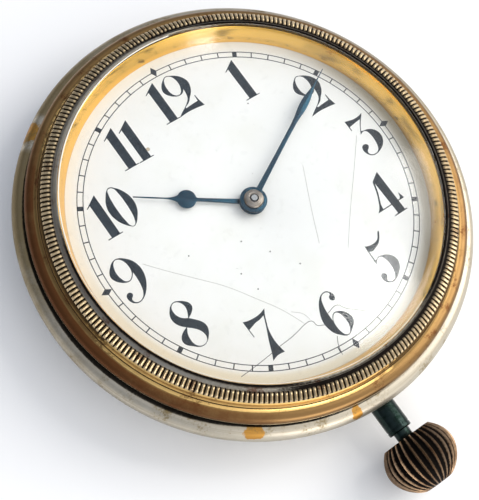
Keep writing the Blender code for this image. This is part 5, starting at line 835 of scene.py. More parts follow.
def flat_mesh(
    name: str, loops: list[Outline], ends: Pair, bevel: float = 0.0, turn: float = 0.0
) -> bpy.types.Mesh:
    """A flat piece cut to outlines drawn in millimetres.

    Args:
        name: the mesh's name.
        loops: closed outlines, a hole being one that lies inside another.
        ends: the heights of its lower and upper face.
        bevel: the width of the rounding of its edges.
        turn: the angle in degrees by which it is turned round the Z axis.

    Returns:
        The mesh in metres.
    """
    bottom, top = ends
    curve = bpy.data.curves.new(name, "CURVE")
    curve.dimensions, curve.fill_mode, curve.resolution_u = "2D", "BOTH", 5
    curve.extrude = (top - bottom) / 2 - bevel
    curve.bevel_depth, curve.offset, curve.bevel_resolution = bevel, -bevel, 1
    blank = drawn(curve, loops, 0.0)
    bmesh.ops.remove_doubles(blank.work, verts=blank.work.verts, dist=FINE_WELD)
    return blank.mesh(name, turned(turn) @ Matrix.Translation((0.0, 0.0, (bottom + top) / 2)))


def hairlines(name: str, lines: tuple[tuple[Pair, ...], ...], radius: float, height: float) -> bpy.types.Mesh:
    """Thin round threads along smooth lines.

    Args:
        name: the mesh's name.
        lines: for each thread its points' places on the dial, in millimetres.
        radius: the threads' radius.
        height: the height of their middles.

    Returns:
        The mesh in metres.
    """
    curve = bpy.data.curves.new(name, "CURVE")
    curve.dimensions, curve.bevel_depth, curve.bevel_resolution = "3D", radius, 1
    curve.resolution_u, curve.use_fill_caps = 4, True
    return drawn(curve, [[(x, y, False) for x, y in line] for line in lines], height).mesh(name)


def ring_of(radius: float, centre: float = 0.0, arc: Pair = (0.0, 360.0), count: int = 48) -> Outline:
    """Smooth points round a circle.

    Args:
        radius: the circle's radius.
        centre: the place of its middle on the X axis.
        arc: the angles where the points start and end, in degrees.
        count: how many points there are.

    Returns:
        The points, without the last one of a full turn.
    """
    steps = count if arc[1] - arc[0] >= 360 else count - 1
    places = [polar(radius, between(*arc, step / steps)) for step in range(count)]
    return [(centre + x, y, False) for x, y in places]


def mirrored(half: Outline) -> Outline:
    """A hand's full outline from its upper half, given from tip to tail."""
    return half + [(x, -y, corner) for x, y, corner in half[::-1] if y > 1e-6]


# The case


@dataclass
class Case:
    """The nickel band, the snap-on back and the tube for the stem."""

    neck: float = 35.9
    neck_top: float = 15.9
    neck_bore: float = 34.4
    shelf: Pair = (38.3, 13.4)
    shelf_step: float = 0.9
    widest: float = 40.2
    shoulder_foot: float = 11.3
    swell: float = 0.3
    wall: Pair = (38.9, 7.4)
    seam: Pair = (0.12, 0.2)
    rim: Pair = (37.2, 4.4)
    rim_bore: float = 35.6
    ledge: Point = (31.6, 9.45, 10.9)
    belly_bore: float = 36.6
    stem_height: float = 7.25
    sleeve: Pair = (2.15, 1.55)
    sleeve_ends: Pair = (35.7, 45.1)
    sleeve_groove: tuple[float, float, float, float] = (0.9, 0.85, 0.7, 0.65)
    groove_depth: float = 0.06
    sleeve_play: float = 0.05
    screw_bearings: Pair = (20.0, 200.0)
    screw_ring: float = 32.6
    screw_hole: Pair = (0.65, 6.0)
    back: Section = (
        (0.0, 0.9), (27.5, 0.9), (34.6, 4.35), (34.6, 5.65, 0.0, 0.1), (35.5, 5.65, 0.0, 0.15), (35.5, 4.35),
        (37.2, 4.35, 1.0, 0.12), (36.55, 3.05, 0.9, 0.2), (34.5, 1.8, 0.8, 1.6), (27.5, 0.0, 0.6, 0.5),
        (26.9, 0.0, 0.6), (26.75, 0.08, 0.6), (26.6, 0.0, 0.6), (0.0, 0.0, 0.5),
    )
    # Painted shadow in the gap under the bezel's foot: how far out on the band it reaches at each bearing,
    # widest on the near left, and how wide its soft edge is.
    gap_shadow_reach: Stops = (
        (20, 38.3), (120, 38.3), (165, 38.65), (190, 38.85), (215, 38.8), (238, 38.45), (300, 38.2),
    )
    gap_shadow_edge: float = 0.3
    # Tarnish by bearing, heaviest on the left, so it also paints the shade on that side.
    tarnish: Stops = (
        (0, 0.35), (60, 0.2), (120, 0.7), (152, 0.85), (178, 0.45), (205, 0.2), (300, 0.1),
    )
    far_reach: float = 40.1
    worn_spots: Section = (
        (127.5, 12.3, 2.0, 1.7), (234.7, 12.9, 1.7, 0.9), (260.5, 12.7, 1.0, 1.0), (203.0, 8.0, 0.8, 0.6),
    )

    def band_profile(self) -> list[Station]:
        """Works out the band's section.

        Returns:
            The stations in order round the section.
        """
        shelf_radius, shelf_height = self.shelf
        wall_radius, wall_height = self.wall
        floor, low, high = self.ledge
        seam_in, seam_down = self.seam
        middle = (self.widest + wall_radius) / 2 + self.swell
        radii = (self.widest - shelf_radius, shelf_height - self.shoulder_foot)
        return [
            Station(self.neck, self.neck_top, Zone.BORE, 0.1),
            Station(self.neck, shelf_height, Zone.BORE),
            Station(shelf_radius - self.shelf_step, shelf_height, 0.1),
            *quarter((shelf_radius, self.shoulder_foot), radii, (90, 0), (Zone.LIP_FOOT, 0.6), 14),
            Station(middle, (self.shoulder_foot + wall_height) / 2, 0.72),
            Station(wall_radius + 0.02, wall_height + seam_in, 0.76),
            Station(wall_radius - seam_in, wall_height, Zone.BORE),
            Station(wall_radius - 0.05, wall_height - seam_down, Zone.ARRIS),
            Station(*self.rim, Zone.FLANGE, 0.12),
            *stations((
                (self.rim_bore, self.rim[1], 0.0, 0.05), (self.belly_bore, low), (floor, low), (floor, high),
                (self.neck_bore, high), (self.neck_bore, self.neck_top, Zone.BORE, 0.05),
            )),
        ]

    def build(self) -> None:
        """Builds and dresses the case."""
        blank = Blank().turn(self.band_profile(), 40)
        self.age(blank)
        near, far = self.neck_bore, self.sleeve_ends[1]
        lying = Matrix.Rotation(math.pi / 2, 4, "X")
        bore = Matrix.Translation((0, -(near + far) / 2, self.stem_height)) @ lying
        holes = [(self.sleeve[0] + self.sleeve_play, bore, far - near)]
        radius, length = self.screw_hole
        for bearing in self.screw_bearings:
            at = Matrix.Translation((*polar(self.screw_ring, bearing), self.ledge[1]))
            holes.append((radius, at, length))
        band = drilled(blank.mesh("case_band"), holes)
        fit(band, "case_band_body", Stock.BAND, "case", "case_band")
        mesh = Blank().turn(stations(self.back), 30, closed=False).mesh("back_cover")
        fit(mesh, "back_cover_body", Stock.NICKEL, "case", "back_cover")
        self.build_sleeve()

    def age(self, blank: Blank) -> None:
        """Marks the tarnish, which is heaviest on the left and so also paints that side's shade, the painted
        shadow in the gap beside the bezel's foot and the spots worn to the brass.

        Args:
            blank: the band in work.
        """
        grime, wear, tarnish = (blank.marks[name] for name in ("grime", "wear", "tarnish"))
        for point in blank.work.verts:
            radius, height, bearing = place_of(point.co)
            point[tarnish] = around(bearing, self.tarnish)
            point.co.y = min(point.co.y, self.far_reach)
            # Painted shadow in the gap under the bezel's foot.
            if height > self.shoulder_foot - 0.1 and radius > self.neck + 0.2:
                edge = around(bearing, self.gap_shadow_reach)
                point[grime] = min(1.0, max(0.0, (edge - radius) / self.gap_shadow_edge + 0.5))
            for place, level, spread, rise in self.worn_spots:
                across = math.radians(bearing - place) * radius / spread
                up = (height - level) / rise
                if across * across + up * up < 4:
                    swell = 1.0 - (across * across + up * up) / 2
                    point[wear] = max(point[wear], swell)
                    point[tarnish] *= max(0.0, -swell)

    def build_sleeve(self) -> None:
        """The dark tube round the stem, with a groove near its end."""
        outer, inner = self.sleeve
        near, far = self.sleeve_ends
        waist = outer - self.groove_depth
        groove = zip((outer, waist, waist, outer), self.sleeve_groove)
        profile = [
            Station(outer, near, 0.0, 0.1),
            *(Station(radius, far - back) for radius, back in groove),
            *stations(((outer, far, 0.0, 0.25), (inner, far, 0.0, 0.1), (inner, near, 0.0, 0.1))),
        ]
        mesh = Blank().turn(profile, 8).mesh("stem_sleeve", Winding.along_stem())
        fit(mesh, "stem_sleeve_body", Stock.SLEEVE, "case", "stem_sleeve")


@dataclass
class Bezel:
    """The screwed bezel with its milled edge."""

    ridges: int = 276
    steps_to_ridge: int = 4
    ridge_height: float = 0.42
    ridge_inner: Pair = (33.98, 18.1)
    ridge_outer: Pair = (35.58, 17.38)
    ridge_steps: int = 12
    hollow: Pair = (0.62, 0.45)
    bore: float = 33.4
    seat: float = 18.6
    lip: Point = (32.9, 33.15, 18.84)
    lip_corner: float = 0.06
    lip_foot: Section = ((33.5, 18.44, 0.28), (33.82, 18.13, Zone.LIP_FOOT))
    groove: Section = ((35.38, 17.15, Zone.GROOVE),)
    neck: Pair = (35.72, 16.95)
    waist: Pair = (36.78, 15.4)
    flange: Pair = (38.15, 14.2)
    arris: float = 0.02
    arris_drop: Pair = (0.1, 0.13)
    rim_back: float = 0.03
    base: float = 13.75
    thread: float = 36.1
    thread_top: float = 15.95
    # Tarnish by bearing, heaviest on the left, so it also paints the shade on that side.
    tarnish: Stops = (
        (0, 0.25), (60, 0.1), (115, 0.1), (150, 0.75), (180, 0.95), (200, 0.75), (232, 0.45), (250, 0.0),
        (300, 0.05), (330, 0.3),
    )
    worn_arc: Stops = (
        (0, 0.0), (75, 0.45), (125, 0.5), (150, 0.2), (185, 0.35), (205, 0.85), (262, 0.9), (285, 0.0),
    )
    # The mark below is crust on the near side of the lip and painted shade on its far side, where it is 1 from
    # 300 round to 70 degrees.
    crust_and_shade_foot: float = 18.1
    crust_and_shade_reach: Pair = (33.3, 33.9)
    crust_and_shade_rings: Pair = (33.3, 33.0)
    crust_and_shade: tuple[Stops, ...] = (
        ((0, 1.0), (70, 1.0), (100, 0.5), (150, 0.2), (200, 0.2), (235, 0.4), (255, 1.0), (300, 1.0)),
        ((0, 1.0), (70, 1.0), (92, 0.2), (140, 0.1), (175, 0.8), (235, 0.8), (255, 0.5), (285, 0.5),
         (310, 1.0)),
        ((0, 1.0), (60, 1.0), (85, 0.0), (150, 0.0), (170, 0.9), (235, 0.95), (255, 0.3), (285, 0.5),
         (310, 1.0)),
    )

    def ridge_slope(self) -> list[Station]:
        """Works out the slope that the ridges stand on.

        Returns:
            The stations from the lip outwards.
        """
        found = []
        for step in range(self.ridge_steps + 1):
            share = step / self.ridge_steps
            radius, height = (between(*ends, share) for ends in zip(self.ridge_inner, self.ridge_outer))
            swell = min(1.0, share * 4, (1 - share) * 4.5) ** 0.6 if 0 < step < self.ridge_steps else 0.0
            found.append(Station(radius, height, Zone.REEDS, 0.0, swell))
        return found

    def profile(self) -> list[Station]:
        """Works out the bezel's section.

        Returns:
            The stations in order round the section.
        """
        inner, outer, top = self.lip
        waist, waist_height = self.waist
        neck, neck_height = self.neck
        edge, edge_top = self.flange
        arris, rim = edge + self.arris, edge - self.rim_back
        cove_size = (waist - neck, neck_height - waist_height)
        ovolo_size = (edge - waist, waist_height - edge_top)
        return [
            Station(self.bore, self.thread_top),
            Station(self.bore, self.seat, Zone.BORE),
            Station(inner, self.seat, Zone.BORE, 0.03),
            Station(inner, top - self.lip_corner, 0.16),
            Station(inner + self.lip_corner, top, Zone.LIP),
            Station(outer, top, Zone.LIP, 0.06),
            *stations(self.lip_foot),
            *self.ridge_slope(),
            *stations(self.groove),
            *quarter((waist, neck_height), cove_size, (180, 270), (0.52, Zone.OVOLO), 10),
            *quarter((waist, edge_top), ovolo_size, (90, 0), (0.7, Zone.ROLL), 12),
            Station(arris, edge_top - self.arris, Zone.ARRIS),
            Station(arris, edge_top - self.arris_drop[0], 0.91),
            Station(rim, edge_top - self.arris_drop[1], 0.99),
            Station(rim, self.base, Zone.FLANGE, 0.06),
            Station(self.thread, self.base),
            Station(self.thread, self.thread_top),
        ]

    def build(self) -> None:
        """Builds and dresses the bezel."""
        blank = Blank().turn(self.profile(), self.ridges * self.steps_to_ridge // SECTORS)
        self.raise_ridges(blank)
        self.soil(blank)
        mesh = blank.mesh("milled_bezel")
        fit(mesh, "milled_bezel_body", Stock.BEZEL, "milled_bezel", "milled_bezel")

    def raise_ridges(self, blank: Blank) -> None:
        """Lifts the crests of the milled edge out of the slope and marks the hollows between them.

        Args:
            blank: the bezel in work.
        """
        zone, grime, ridge = (blank.marks[name] for name in ("zone", "grime", "ridge"))
        run = self.ridge_outer[0] - self.ridge_inner[0]
        drop = self.ridge_inner[1] - self.ridge_outer[1]
        slope = math.hypot(run, drop)
        darkest, reach = self.hollow
        for point in blank.work.verts:
            if not Zone.REEDS.holds(point[zone]):
                continue
            phase = math.atan2(point.co.y, point.co.x) / FULL_TURN * self.ridges
            crest = abs(math.sin(math.pi * phase))
            radius = math.hypot(point.co.x, point.co.y)
            inner_end = darkest * max(0.0, 1 - (radius - self.ridge_inner[0]) / reach)
            point[grime] = max(1 - crest, inner_end)
            swell = point[ridge]
            if swell <= 0:
                continue
            lift = self.ridge_height * crest * swell
            outward = Vector((point.co.x, point.co.y, 0.0)).normalized()
            point.co += outward * (lift * drop / slope) + Vector((0, 0, lift * run / slope))

    def soil(self, blank: Blank) -> None:
        """Marks the crust on the lip, with painted shade on its far side, the tarnish, which also paints the
        shade of the left side, and the worn cove, all of which change round the clock.

        Args:
            blank: the bezel in work.
        """
        zone, grime, wear, tarnish = (blank.marks[name] for name in ("zone", "grime", "wear", "tarnish"))
        for point in blank.work.verts:
            place = point[zone]
            radius, height, bearing = place_of(point.co)
            if not Zone.REEDS.holds(place):
                share = 0.3
                if place > Zone.OVOLO:
                    share = 0.0 if place > 0.88 else 1.0
                point[tarnish] = around(bearing, self.tarnish) * share
            if 0.48 < place < 0.64:
                point[wear] = around(bearing, self.worn_arc)
            # Crust on the near side of the lip, painted shade on its far side.
            if height > self.crust_and_shade_foot and radius < self.crust_and_shade_reach[place > 0.1]:
                ring = sum(radius < edge for edge in self.crust_and_shade_rings)
                point[grime] = around(bearing, self.crust_and_shade[ring])


@dataclass
class Glass:
    """The domed glass, pale threads painted along its edge as a highlight, and the gilt cone below it."""

    edge: float = 32.8
    top: float = 20.7
    camber: float = 1.9
    under_edge: float = 32.0
    under_top: float = 19.6
    rim: Pair = (33.25, 17.85)
    rim_top: float = 18.55
    rounding: float = 0.05
    steps: int = 24
    # Painted highlight along the glass's edge: each arc's side, first and last bearing, and thread radius.
    edge_glints: tuple[tuple[str, int, int, float], ...] = (("far", 82, 166, 0.12), ("near", 160, 292, 0.06))
    line_radius: float = 32.7
    line_height: float = 18.8
    line_step: int = 6
    reflector: Section = (
        (33.2, 17.8, 0.0, 0.05), (32.4, 14.55, 0.0, 0.05), (31.5, 14.55, 0.0, 0.06), (31.75, 15.2),
        (32.05, 16.0), (32.45, 17.0), (32.75, 17.8, 0.0, 0.06),
    )

    def dome(self, edge: float, top: float, camber: float) -> list[Station]:
        """A face of the glass that is part of a sphere.

        Args:
            edge: the radius where it ends.
            top: the height of its middle.
            camber: how far its edge lies below its middle.

        Returns:
            The stations from the middle outwards, without the middle.
        """
        sphere = (edge**2 + camber**2) / (2 * camber)
        radii = (edge * step / self.steps for step in range(1, self.steps + 1))
        return [Station(radius, top - sphere + math.sqrt(sphere**2 - radius**2)) for radius in radii]

    def build(self) -> None:
        """Builds and dresses the glass, the painted highlight along its edge and the gilt ring."""
        under = self.dome(self.under_edge, self.under_top, self.under_top - self.rim[1])
        profile = [
            Station(0.0, self.top),
            *self.dome(self.edge, self.top, self.camber),
            Station(self.edge, self.rim_top),
            Station(self.rim[0], self.rim_top, 0.0, self.rounding),
            Station(*self.rim, 0.0, self.rounding),
            *reversed(under),
            Station(0.0, self.under_top),
        ]
        body = "glass_and_reflector"
        mesh = Blank().turn(profile, 16, closed=False).mesh("watch_glass")
        fit(mesh, "watch_glass_dome", Stock.GLASS, body, "watch_glass")
        # Pale threads that paint the highlight where the glass's edge catches the light.
        for side, start, end, radius in self.edge_glints:
            name = f"glass_edge_glint_{side}"
            arc = tuple(polar(self.line_radius, bearing) for bearing in range(start, end + 1, self.line_step))
            fit(hairlines(name, (arc,), radius, self.line_height), name, Stock.GLASS_EDGE_GLINT, body)
        mesh = Blank().turn(stations(self.reflector), 30).mesh("reflector_ring")
        fit(mesh, "reflector_ring_body", Stock.GILT_RING, body, "reflector_ring")


# The dial

NUMERAL_SHAPES = {
    "1": (
        "0,657c 238,809c 230,17c 282,13c 280,-1c -2,0c -1,17c 71,19c 73,679c 7,644c",
    ),
    "0": (
        "242,802 340,731 424,600 467,433 444,256 359,111 270,20 214,-1 173,24 87,122 26,244 0,400 "
        "29,556 114,700 187,780",
        "242,784 298,747 322,644 330,433 321,256 292,100 253,24 214,11 178,39 151,156 140,378 148,544 "
        "173,711 200,771",
    ),
    "2": (
        "239,794 322,767 422,706 498,617 531,520 513,414 458,314 383,239 317,172 209,117c 206,94c "
        "333,106 464,114c 471,231c 484,231c 494,112c 524,-13c 356,9 189,17 3,0c 111,72 189,117 289,190 "
        "342,252 369,348 378,431c 333,381 244,357 156,390 94,442 44,520 39,587 76,670 156,750",
        "244,779 320,746 360,659 367,559 344,470 300,398 244,376 183,403 144,470 133,581 150,681 194,757",
    ),
    "3": (
        "50,800c 128,778 228,758 339,762 428,784c 383,731 352,700 272,607 197,500c 228,489 317,470 "
        "394,426 450,353 468,270 450,187 394,103 322,51 250,20 161,0 78,18 26,70 0,142 6,214 39,253 "
        "86,261 130,233 134,198 106,162 63,129 52,84 92,33 161,18 233,42 278,114 301,209 309,298 301,387 "
        "278,448 228,472 148,444c 186,509c 261,620 322,698c 228,689 67,667c 61,589c 47,589c",
    ),
    "4": (
        "469,840c 462,218c 503,220c 530,251c 551,333c 586,207c 561,196c 462,200c 461,24c 508,14c 506,0c "
        "223,-2c 223,12c 308,24c 308,200c 3,198c 72,262 139,370 208,509 278,714c 291,731c",
        "300,681c 306,219c 126,217c 139,287 174,370 239,509",
    ),
    "5": (
        "98,774c 146,749 229,733 318,738 384,771 440,841 468,873c 493,869c 462,819 412,752 340,689 "
        "251,651 168,630 113,653c 104,462c 142,487 193,498 253,491 329,460 401,397 442,319 441,236 "
        "396,152 323,82 240,30 151,0 73,16 18,69 0,152 23,209 73,219 110,180 96,122 62,78 87,38 142,22 "
        "198,40 246,100 276,202 281,324 262,419 231,469 190,483 129,456 82,402c 69,409c 89,653c",
    ),
    "6": (
        "326,826 387,811 429,764 450,709 444,653 398,620 353,651 348,692 370,720 398,737 392,778 326,808 "
        "267,792 222,742 189,653 168,542 160,431 157,342c 196,400 231,433 276,446 331,429 398,392 "
        "453,320 481,231 464,153 409,92 331,40 253,0 184,18 120,76 53,153 14,253 0,364 18,476 64,587 "
        "131,698 203,773 264,813",
        "273,430 320,402 354,320 359,209 344,120 309,53 253,14 200,37 162,120 152,231 164,314 207,392",
    ),
    "7": (
        "0,794c 69,770 180,754 324,758 447,794c 393,706 338,583 298,483 271,361 263,206 290,10c 213,22 "
        "136,19 38,-12c 89,89 147,228 211,372 269,489 324,611 362,703c 269,679 180,672 102,652 17,628c "
        "18,483c 4,483c",
    ),
    "8": (
        "259,876 337,849 420,792 470,726 476,656 418,578 316,517c 387,442 459,353 489,264 472,176 411,87 "
        "342,26 259,0 176,24 98,89 22,162 0,231 22,302 87,362 191,407c 133,464 81,542 62,620 76,714 "
        "126,796 187,853",
        "253,859 320,833 369,753 373,676 344,592 304,523c 231,570 178,642 159,731 173,807 209,846",
        "201,399c 276,333 342,256 376,176 373,87 331,33 259,14 187,42 139,114 129,209 148,309",
    ),
    "9": (
        "233,833 300,817 378,761 456,672 500,561 511,450 489,328 433,206 356,106 267,32 167,0 80,32 "
        "33,103 28,172 56,220 94,230 137,202 133,156 91,122 87,70 120,30 167,17 242,39 302,106 339,217 "
        "356,350 359,492c 328,452 283,408 222,386 156,402 83,450 28,517 0,597 22,678 83,752 161,814",
        "233,817 294,789 338,717 356,617 347,528 300,444 233,403 173,422 134,494 117,606 133,706 174,788",
    ),
}

NUMERAL_PLACES = {
    "12": ((-3.81, 19.83), (-1.17, 19.80)),
    "11": ((-14.86, 16.28), (-11.89, 16.22)),
    "10": ((-24.24, 7.30), (-21.42, 7.22)),
    "9": ((-27.61, -4.33),),
    "8": ((-23.98, -16.03),),
    "7": ((-13.80, -24.22),),
    "6": ((-2.48, -27.70),),
    "5": ((10.93, -24.47),),
    "4": ((17.83, -15.20),),
    "3": ((23.06, -4.03),),
    "2": ((19.10, 7.85),),
    "1": ((10.97, 16.44),),
}

DARK_CRACKS = (
    ((-19.4, -23.6), (-17, -23.5), (-13.2, -23.2), (-11, -22.94), (-9.2, -22.84), (-7, -22.56), (-5.2, -22.2),
     (-3.9, -22.4), (-3.6, -23.5), (-2.9, -23.9), (-2.5, -24.1)),
    ((-0.8, -22.8), (1.5, -22.5), (2.2, -23.6), (4, -25.2), (5.4, -26.4)),
    ((-1.9, -26.8), (-2.6, -28), (-3.1, -29.8)),
)

FAINT_CRACKS = (
    ((-21.9, 0.95), (-19.4, -2.0), (-15.7, -6.1), (-12.5, -9.7), (-9.4, -14.3), (-7.1, -17.9), (-5.7, -20.9),
     (-5.2, -22.2)),
    ((2.4, -23.2), (5.2, -20)),
    ((-5.9, -19.2), (-4.4, -20.6), (-4, -22)),
    ((9.3, -15.4), (14.3, -9.7), (19.3, -4.3), (23.8, 0.7)),
    ((5.6, -12), (7.9, -7), (12, 1.2)),
)


@dataclass
class Dial:
    """The enamelled dial with its numerals, minute track, hour marks and cracks."""

    face: float = 14.5
    thickness: float = 1.1
    radius: float = 32.6
    hole: float = 1.9
    foot_bearings: Pair = (52.0, 232.0)
    foot_ring: float = 28.9
    foot_radius: float = 0.7
    foot_length: float = 2.6
    foot_root: float = 0.3
    track: Pair = (28.5, 29.5)
    ink: float = 0.012
    circle_half: float = 0.075
    hour_stroke: float = 0.8
    minute_stroke: float = 0.19
    stroke_lap: float = 0.1
    diamond: Point = (1.25, 0.72, 0.16)
    diamond_at: Pair = (29.55, 0.05)
    crack_radii: Pair = (0.075, 0.05)
    crack_sink: float = 0.55
    speck: float = 0.13
    specks: tuple[Pair, ...] = (
        (-14.6, -2.0), (-9, -9.3), (-8.2, -13), (-2.5, -8.7), (0.55, -13.2), (-5.6, -4.6), (10.8, 15.9),
    )
    stain: Point = (-9.3, 17.7, 0.35)

    def build(self) -> None:
        """Builds and dresses the dial."""
        base = self.face - self.thickness
        profile = stations((
            (self.radius, self.face, 0.0, 0.3), (self.radius, base, 0.0, 0.1), (self.hole, base),
            (self.hole, self.face, 0.0, 0.12),
        ))
        blank = Blank().turn(profile, 24)
        for bearing in self.foot_bearings:
            ends = (base - self.foot_length, base + self.foot_root)
            blank.post(self.foot_radius, ends, polar(self.foot_ring, bearing), 48)
        fit(blank.mesh("dial"), "dial_plate", Stock.ENAMEL, "case", "dial")
        self.build_numerals()
        self.build_track()
        self.build_diamonds()
        self.build_cracks()

    def inked(self) -> Pair:
        """The heights of the lower and upper face of what is printed on the dial."""
        return self.face - self.ink, self.face + self.ink

    def build_numerals(self) -> None:
        """The twelve numerals, each one piece of ink."""
        for hour, places in NUMERAL_PLACES.items():
            loops = [
                [self.corner(word, place) for word in loop.split()]
                for digit, place in zip(hour, places)
                for loop in NUMERAL_SHAPES[digit]
            ]
            name = f"numeral_{hour}"
            fit(flat_mesh(name, loops, self.inked()), name, Stock.INK, "case")

    @staticmethod
    def corner(word: str, place: Pair) -> Corner:
        """One point of a numeral's outline, moved to its place on the dial."""
        across, up = (int(number) / 100 for number in word.rstrip("c").split(","))
        return place[0] + across, place[1] + up, word.endswith("c")

    def build_track(self) -> None:
        """The two circles, the minute strokes and the heavier hour strokes between them."""
        blank = Blank()
        low, high = self.inked()
        for radius in self.track:
            inner, outer = radius - self.circle_half, radius + self.circle_half
            blank.turn(stations(((inner, low), (inner, high), (outer, high), (outer, low))), 24)
        middle = sum(self.track) / 2
        length = self.track[1] - self.track[0] + self.stroke_lap
        for minute in range(60):
            if minute % 15 == 0:
                continue
            width = self.minute_stroke if minute % 5 else self.hour_stroke
            place = turned(6 * minute) @ Matrix.Translation((middle, 0.0, self.face))
            blank.block((length, width, 2 * self.ink), place)
        fit(blank.mesh("minute_track"), "minute_track", Stock.TRACK_INK, "case")

    def build_diamonds(self) -> None:
        """The faceted diamonds at the quarters."""
        blank = Blank()
        length, width, height = self.diamond
        reach, lift = self.diamond_at
        for hour in (0, 3, 6, 9):
            place = turned(30 * hour) @ Matrix.Translation((reach, 0.0, self.face + lift))
            blank.cone((1.0, 0.0), height, place @ Matrix.Diagonal((length, width, 1.0, 1.0)), 4)
        fit(blank.mesh("quarter_diamonds"), "quarter_diamonds", Stock.TRACK_INK, "case")

    def build_cracks(self) -> None:
        """The hairline cracks and the small stains in the enamel."""
        kinds = (("dark", DARK_CRACKS, Stock.DARK_CRACK), ("faint", FAINT_CRACKS, Stock.FAINT_CRACK))
        for (kind, lines, stock), radius in zip(kinds, self.crack_radii):
            name = f"{kind}_cracks"
            fit(hairlines(name, lines, radius, self.face - radius * self.crack_sink), name, stock, "case")
        blank = Blank()
        for spot in self.specks:
            blank.post(self.speck, self.inked(), spot, 12)
        fit(blank.mesh("enamel_specks"), "enamel_specks", Stock.DARK_CRACK, "case")
        across, up, radius = self.stain
        blank = Blank().post(radius, (self.face - self.ink, self.face + self.ink / 2), (across, up), 24)
        fit(blank.mesh("brown_stain"), "brown_stain", Stock.STAIN, "case")


# The hands


@dataclass
class Hands:
    """The blued hands and the cannon pinion with its turned cap."""

    hour_bearing: float = 145.6
    minute_bearing: float = 28.5
    hour_span: Pair = (15.15, 15.45)
    minute_span: Pair = (16.1, 16.4)
    hour_hole: float = 1.59
    minute_hole: float = 1.05
    bevel: float = 0.06
    hour_needle: tuple[Corner, ...] = (
        (20.3, 0.07, True), (17.0, 0.11, False), (14.3, 0.15, False), (13.55, 0.3, False),
    )
    hour_disc: Pair = (1.66, 11.25)
    hour_arm: tuple[Corner, ...] = ((9.5, 0.3, True), (5.0, 0.37, False), (2.32, 0.44, True))
    hour_boss: float = 2.3
    minute_leaf: tuple[Corner, ...] = (
        (29.2, 0.065, True), (27.0, 0.1, False), (25.5, 0.15, False), (24.3, 0.32, False), (23.1, 0.54, False),
        (22.0, 0.68, False), (20.8, 0.72, False), (19.6, 0.66, False), (18.4, 0.52, False), (17.2, 0.43, False),
        (15.6, 0.39, False), (12.5, 0.38, False), (8.0, 0.41, False), (4.5, 0.46, False), (2.38, 0.5, True),
    )
    minute_boss: float = 2.35
    cap_base: float = 16.45
    cap_radius: float = 1.7
    cap_wall: float = 0.233
    cap_dome: float = 0.467
    cap_mouth: float = 0.62
    cap_groove: float = 0.022
    cap_grooves: int = 5
    cap_steps: int = 40
    bore: float = 0.7
    pipe: float = 1.0
    pipe_foot: float = 11.95
    leaves: int = 10
    leaf: Point = (0.75, 0.36, 0.6)
    leaf_at: Point = (1.15, 0.0, 12.3)

    def build(self) -> None:
        """Builds and dresses the hands and the cannon pinion."""
        hour = [*self.hour_needle, *ring_of(*self.hour_disc, (24.0, 162.0), 12), *self.hour_arm]
        hour += ring_of(self.hour_boss, 0.0, (14.0, 176.0), 18)
        minute = [*self.minute_leaf, *ring_of(self.minute_boss, 0.0, (14.5, 176.0), 18)]
        for name, half, hole, span, bearing in (
            ("hour_hand", hour, self.hour_hole, self.hour_span, self.hour_bearing),
            ("minute_hand", minute, self.minute_hole, self.minute_span, self.minute_bearing),
        ):
            mesh = flat_mesh(name, [mirrored(half), ring_of(hole)], span, self.bevel, bearing)
            fit(mesh, f"{name}_blued", Stock.BLUED, name, name)
        self.build_cannon()

    def build_cannon(self) -> None:
        """The cannon pinion: leaves, pipe and a domed cap with turned rings."""
        base, radius, bore = self.cap_base, self.cap_radius, self.bore
        inner = bore + 0.1
        cap = [Station(bore, base + self.cap_mouth, 0.0, 0.03)]
        for step in range(self.cap_steps + 1):
            share = step / self.cap_steps
            height = base + self.cap_wall + self.cap_dome * math.sqrt(max(0.0, 1 - share**2))
            wave = 0.5 - 0.5 * math.cos(FULL_TURN * share * self.cap_grooves)
            groove = self.cap_groove * wave * min(1.0, (1 - share) * 6)
            cap.append(Station(between(inner, radius, share), height - groove))
        cap += stations((
            (radius, base, 0.0, 0.04), (self.pipe, base), (self.pipe, self.pipe_foot), (bore, self.pipe_foot),
        ))
        blank = Blank().turn(cap, 8)
        for leaf in range(self.leaves):
            blank.block(self.leaf, turned(360 / self.leaves * leaf) @ Matrix.Translation(self.leaf_at))
        mesh = blank.mesh("cannon_pinion")
        fit(mesh, "cannon_pinion_cap", Stock.CAP, "minute_hand", "cannon_pinion")


# Stem and crown


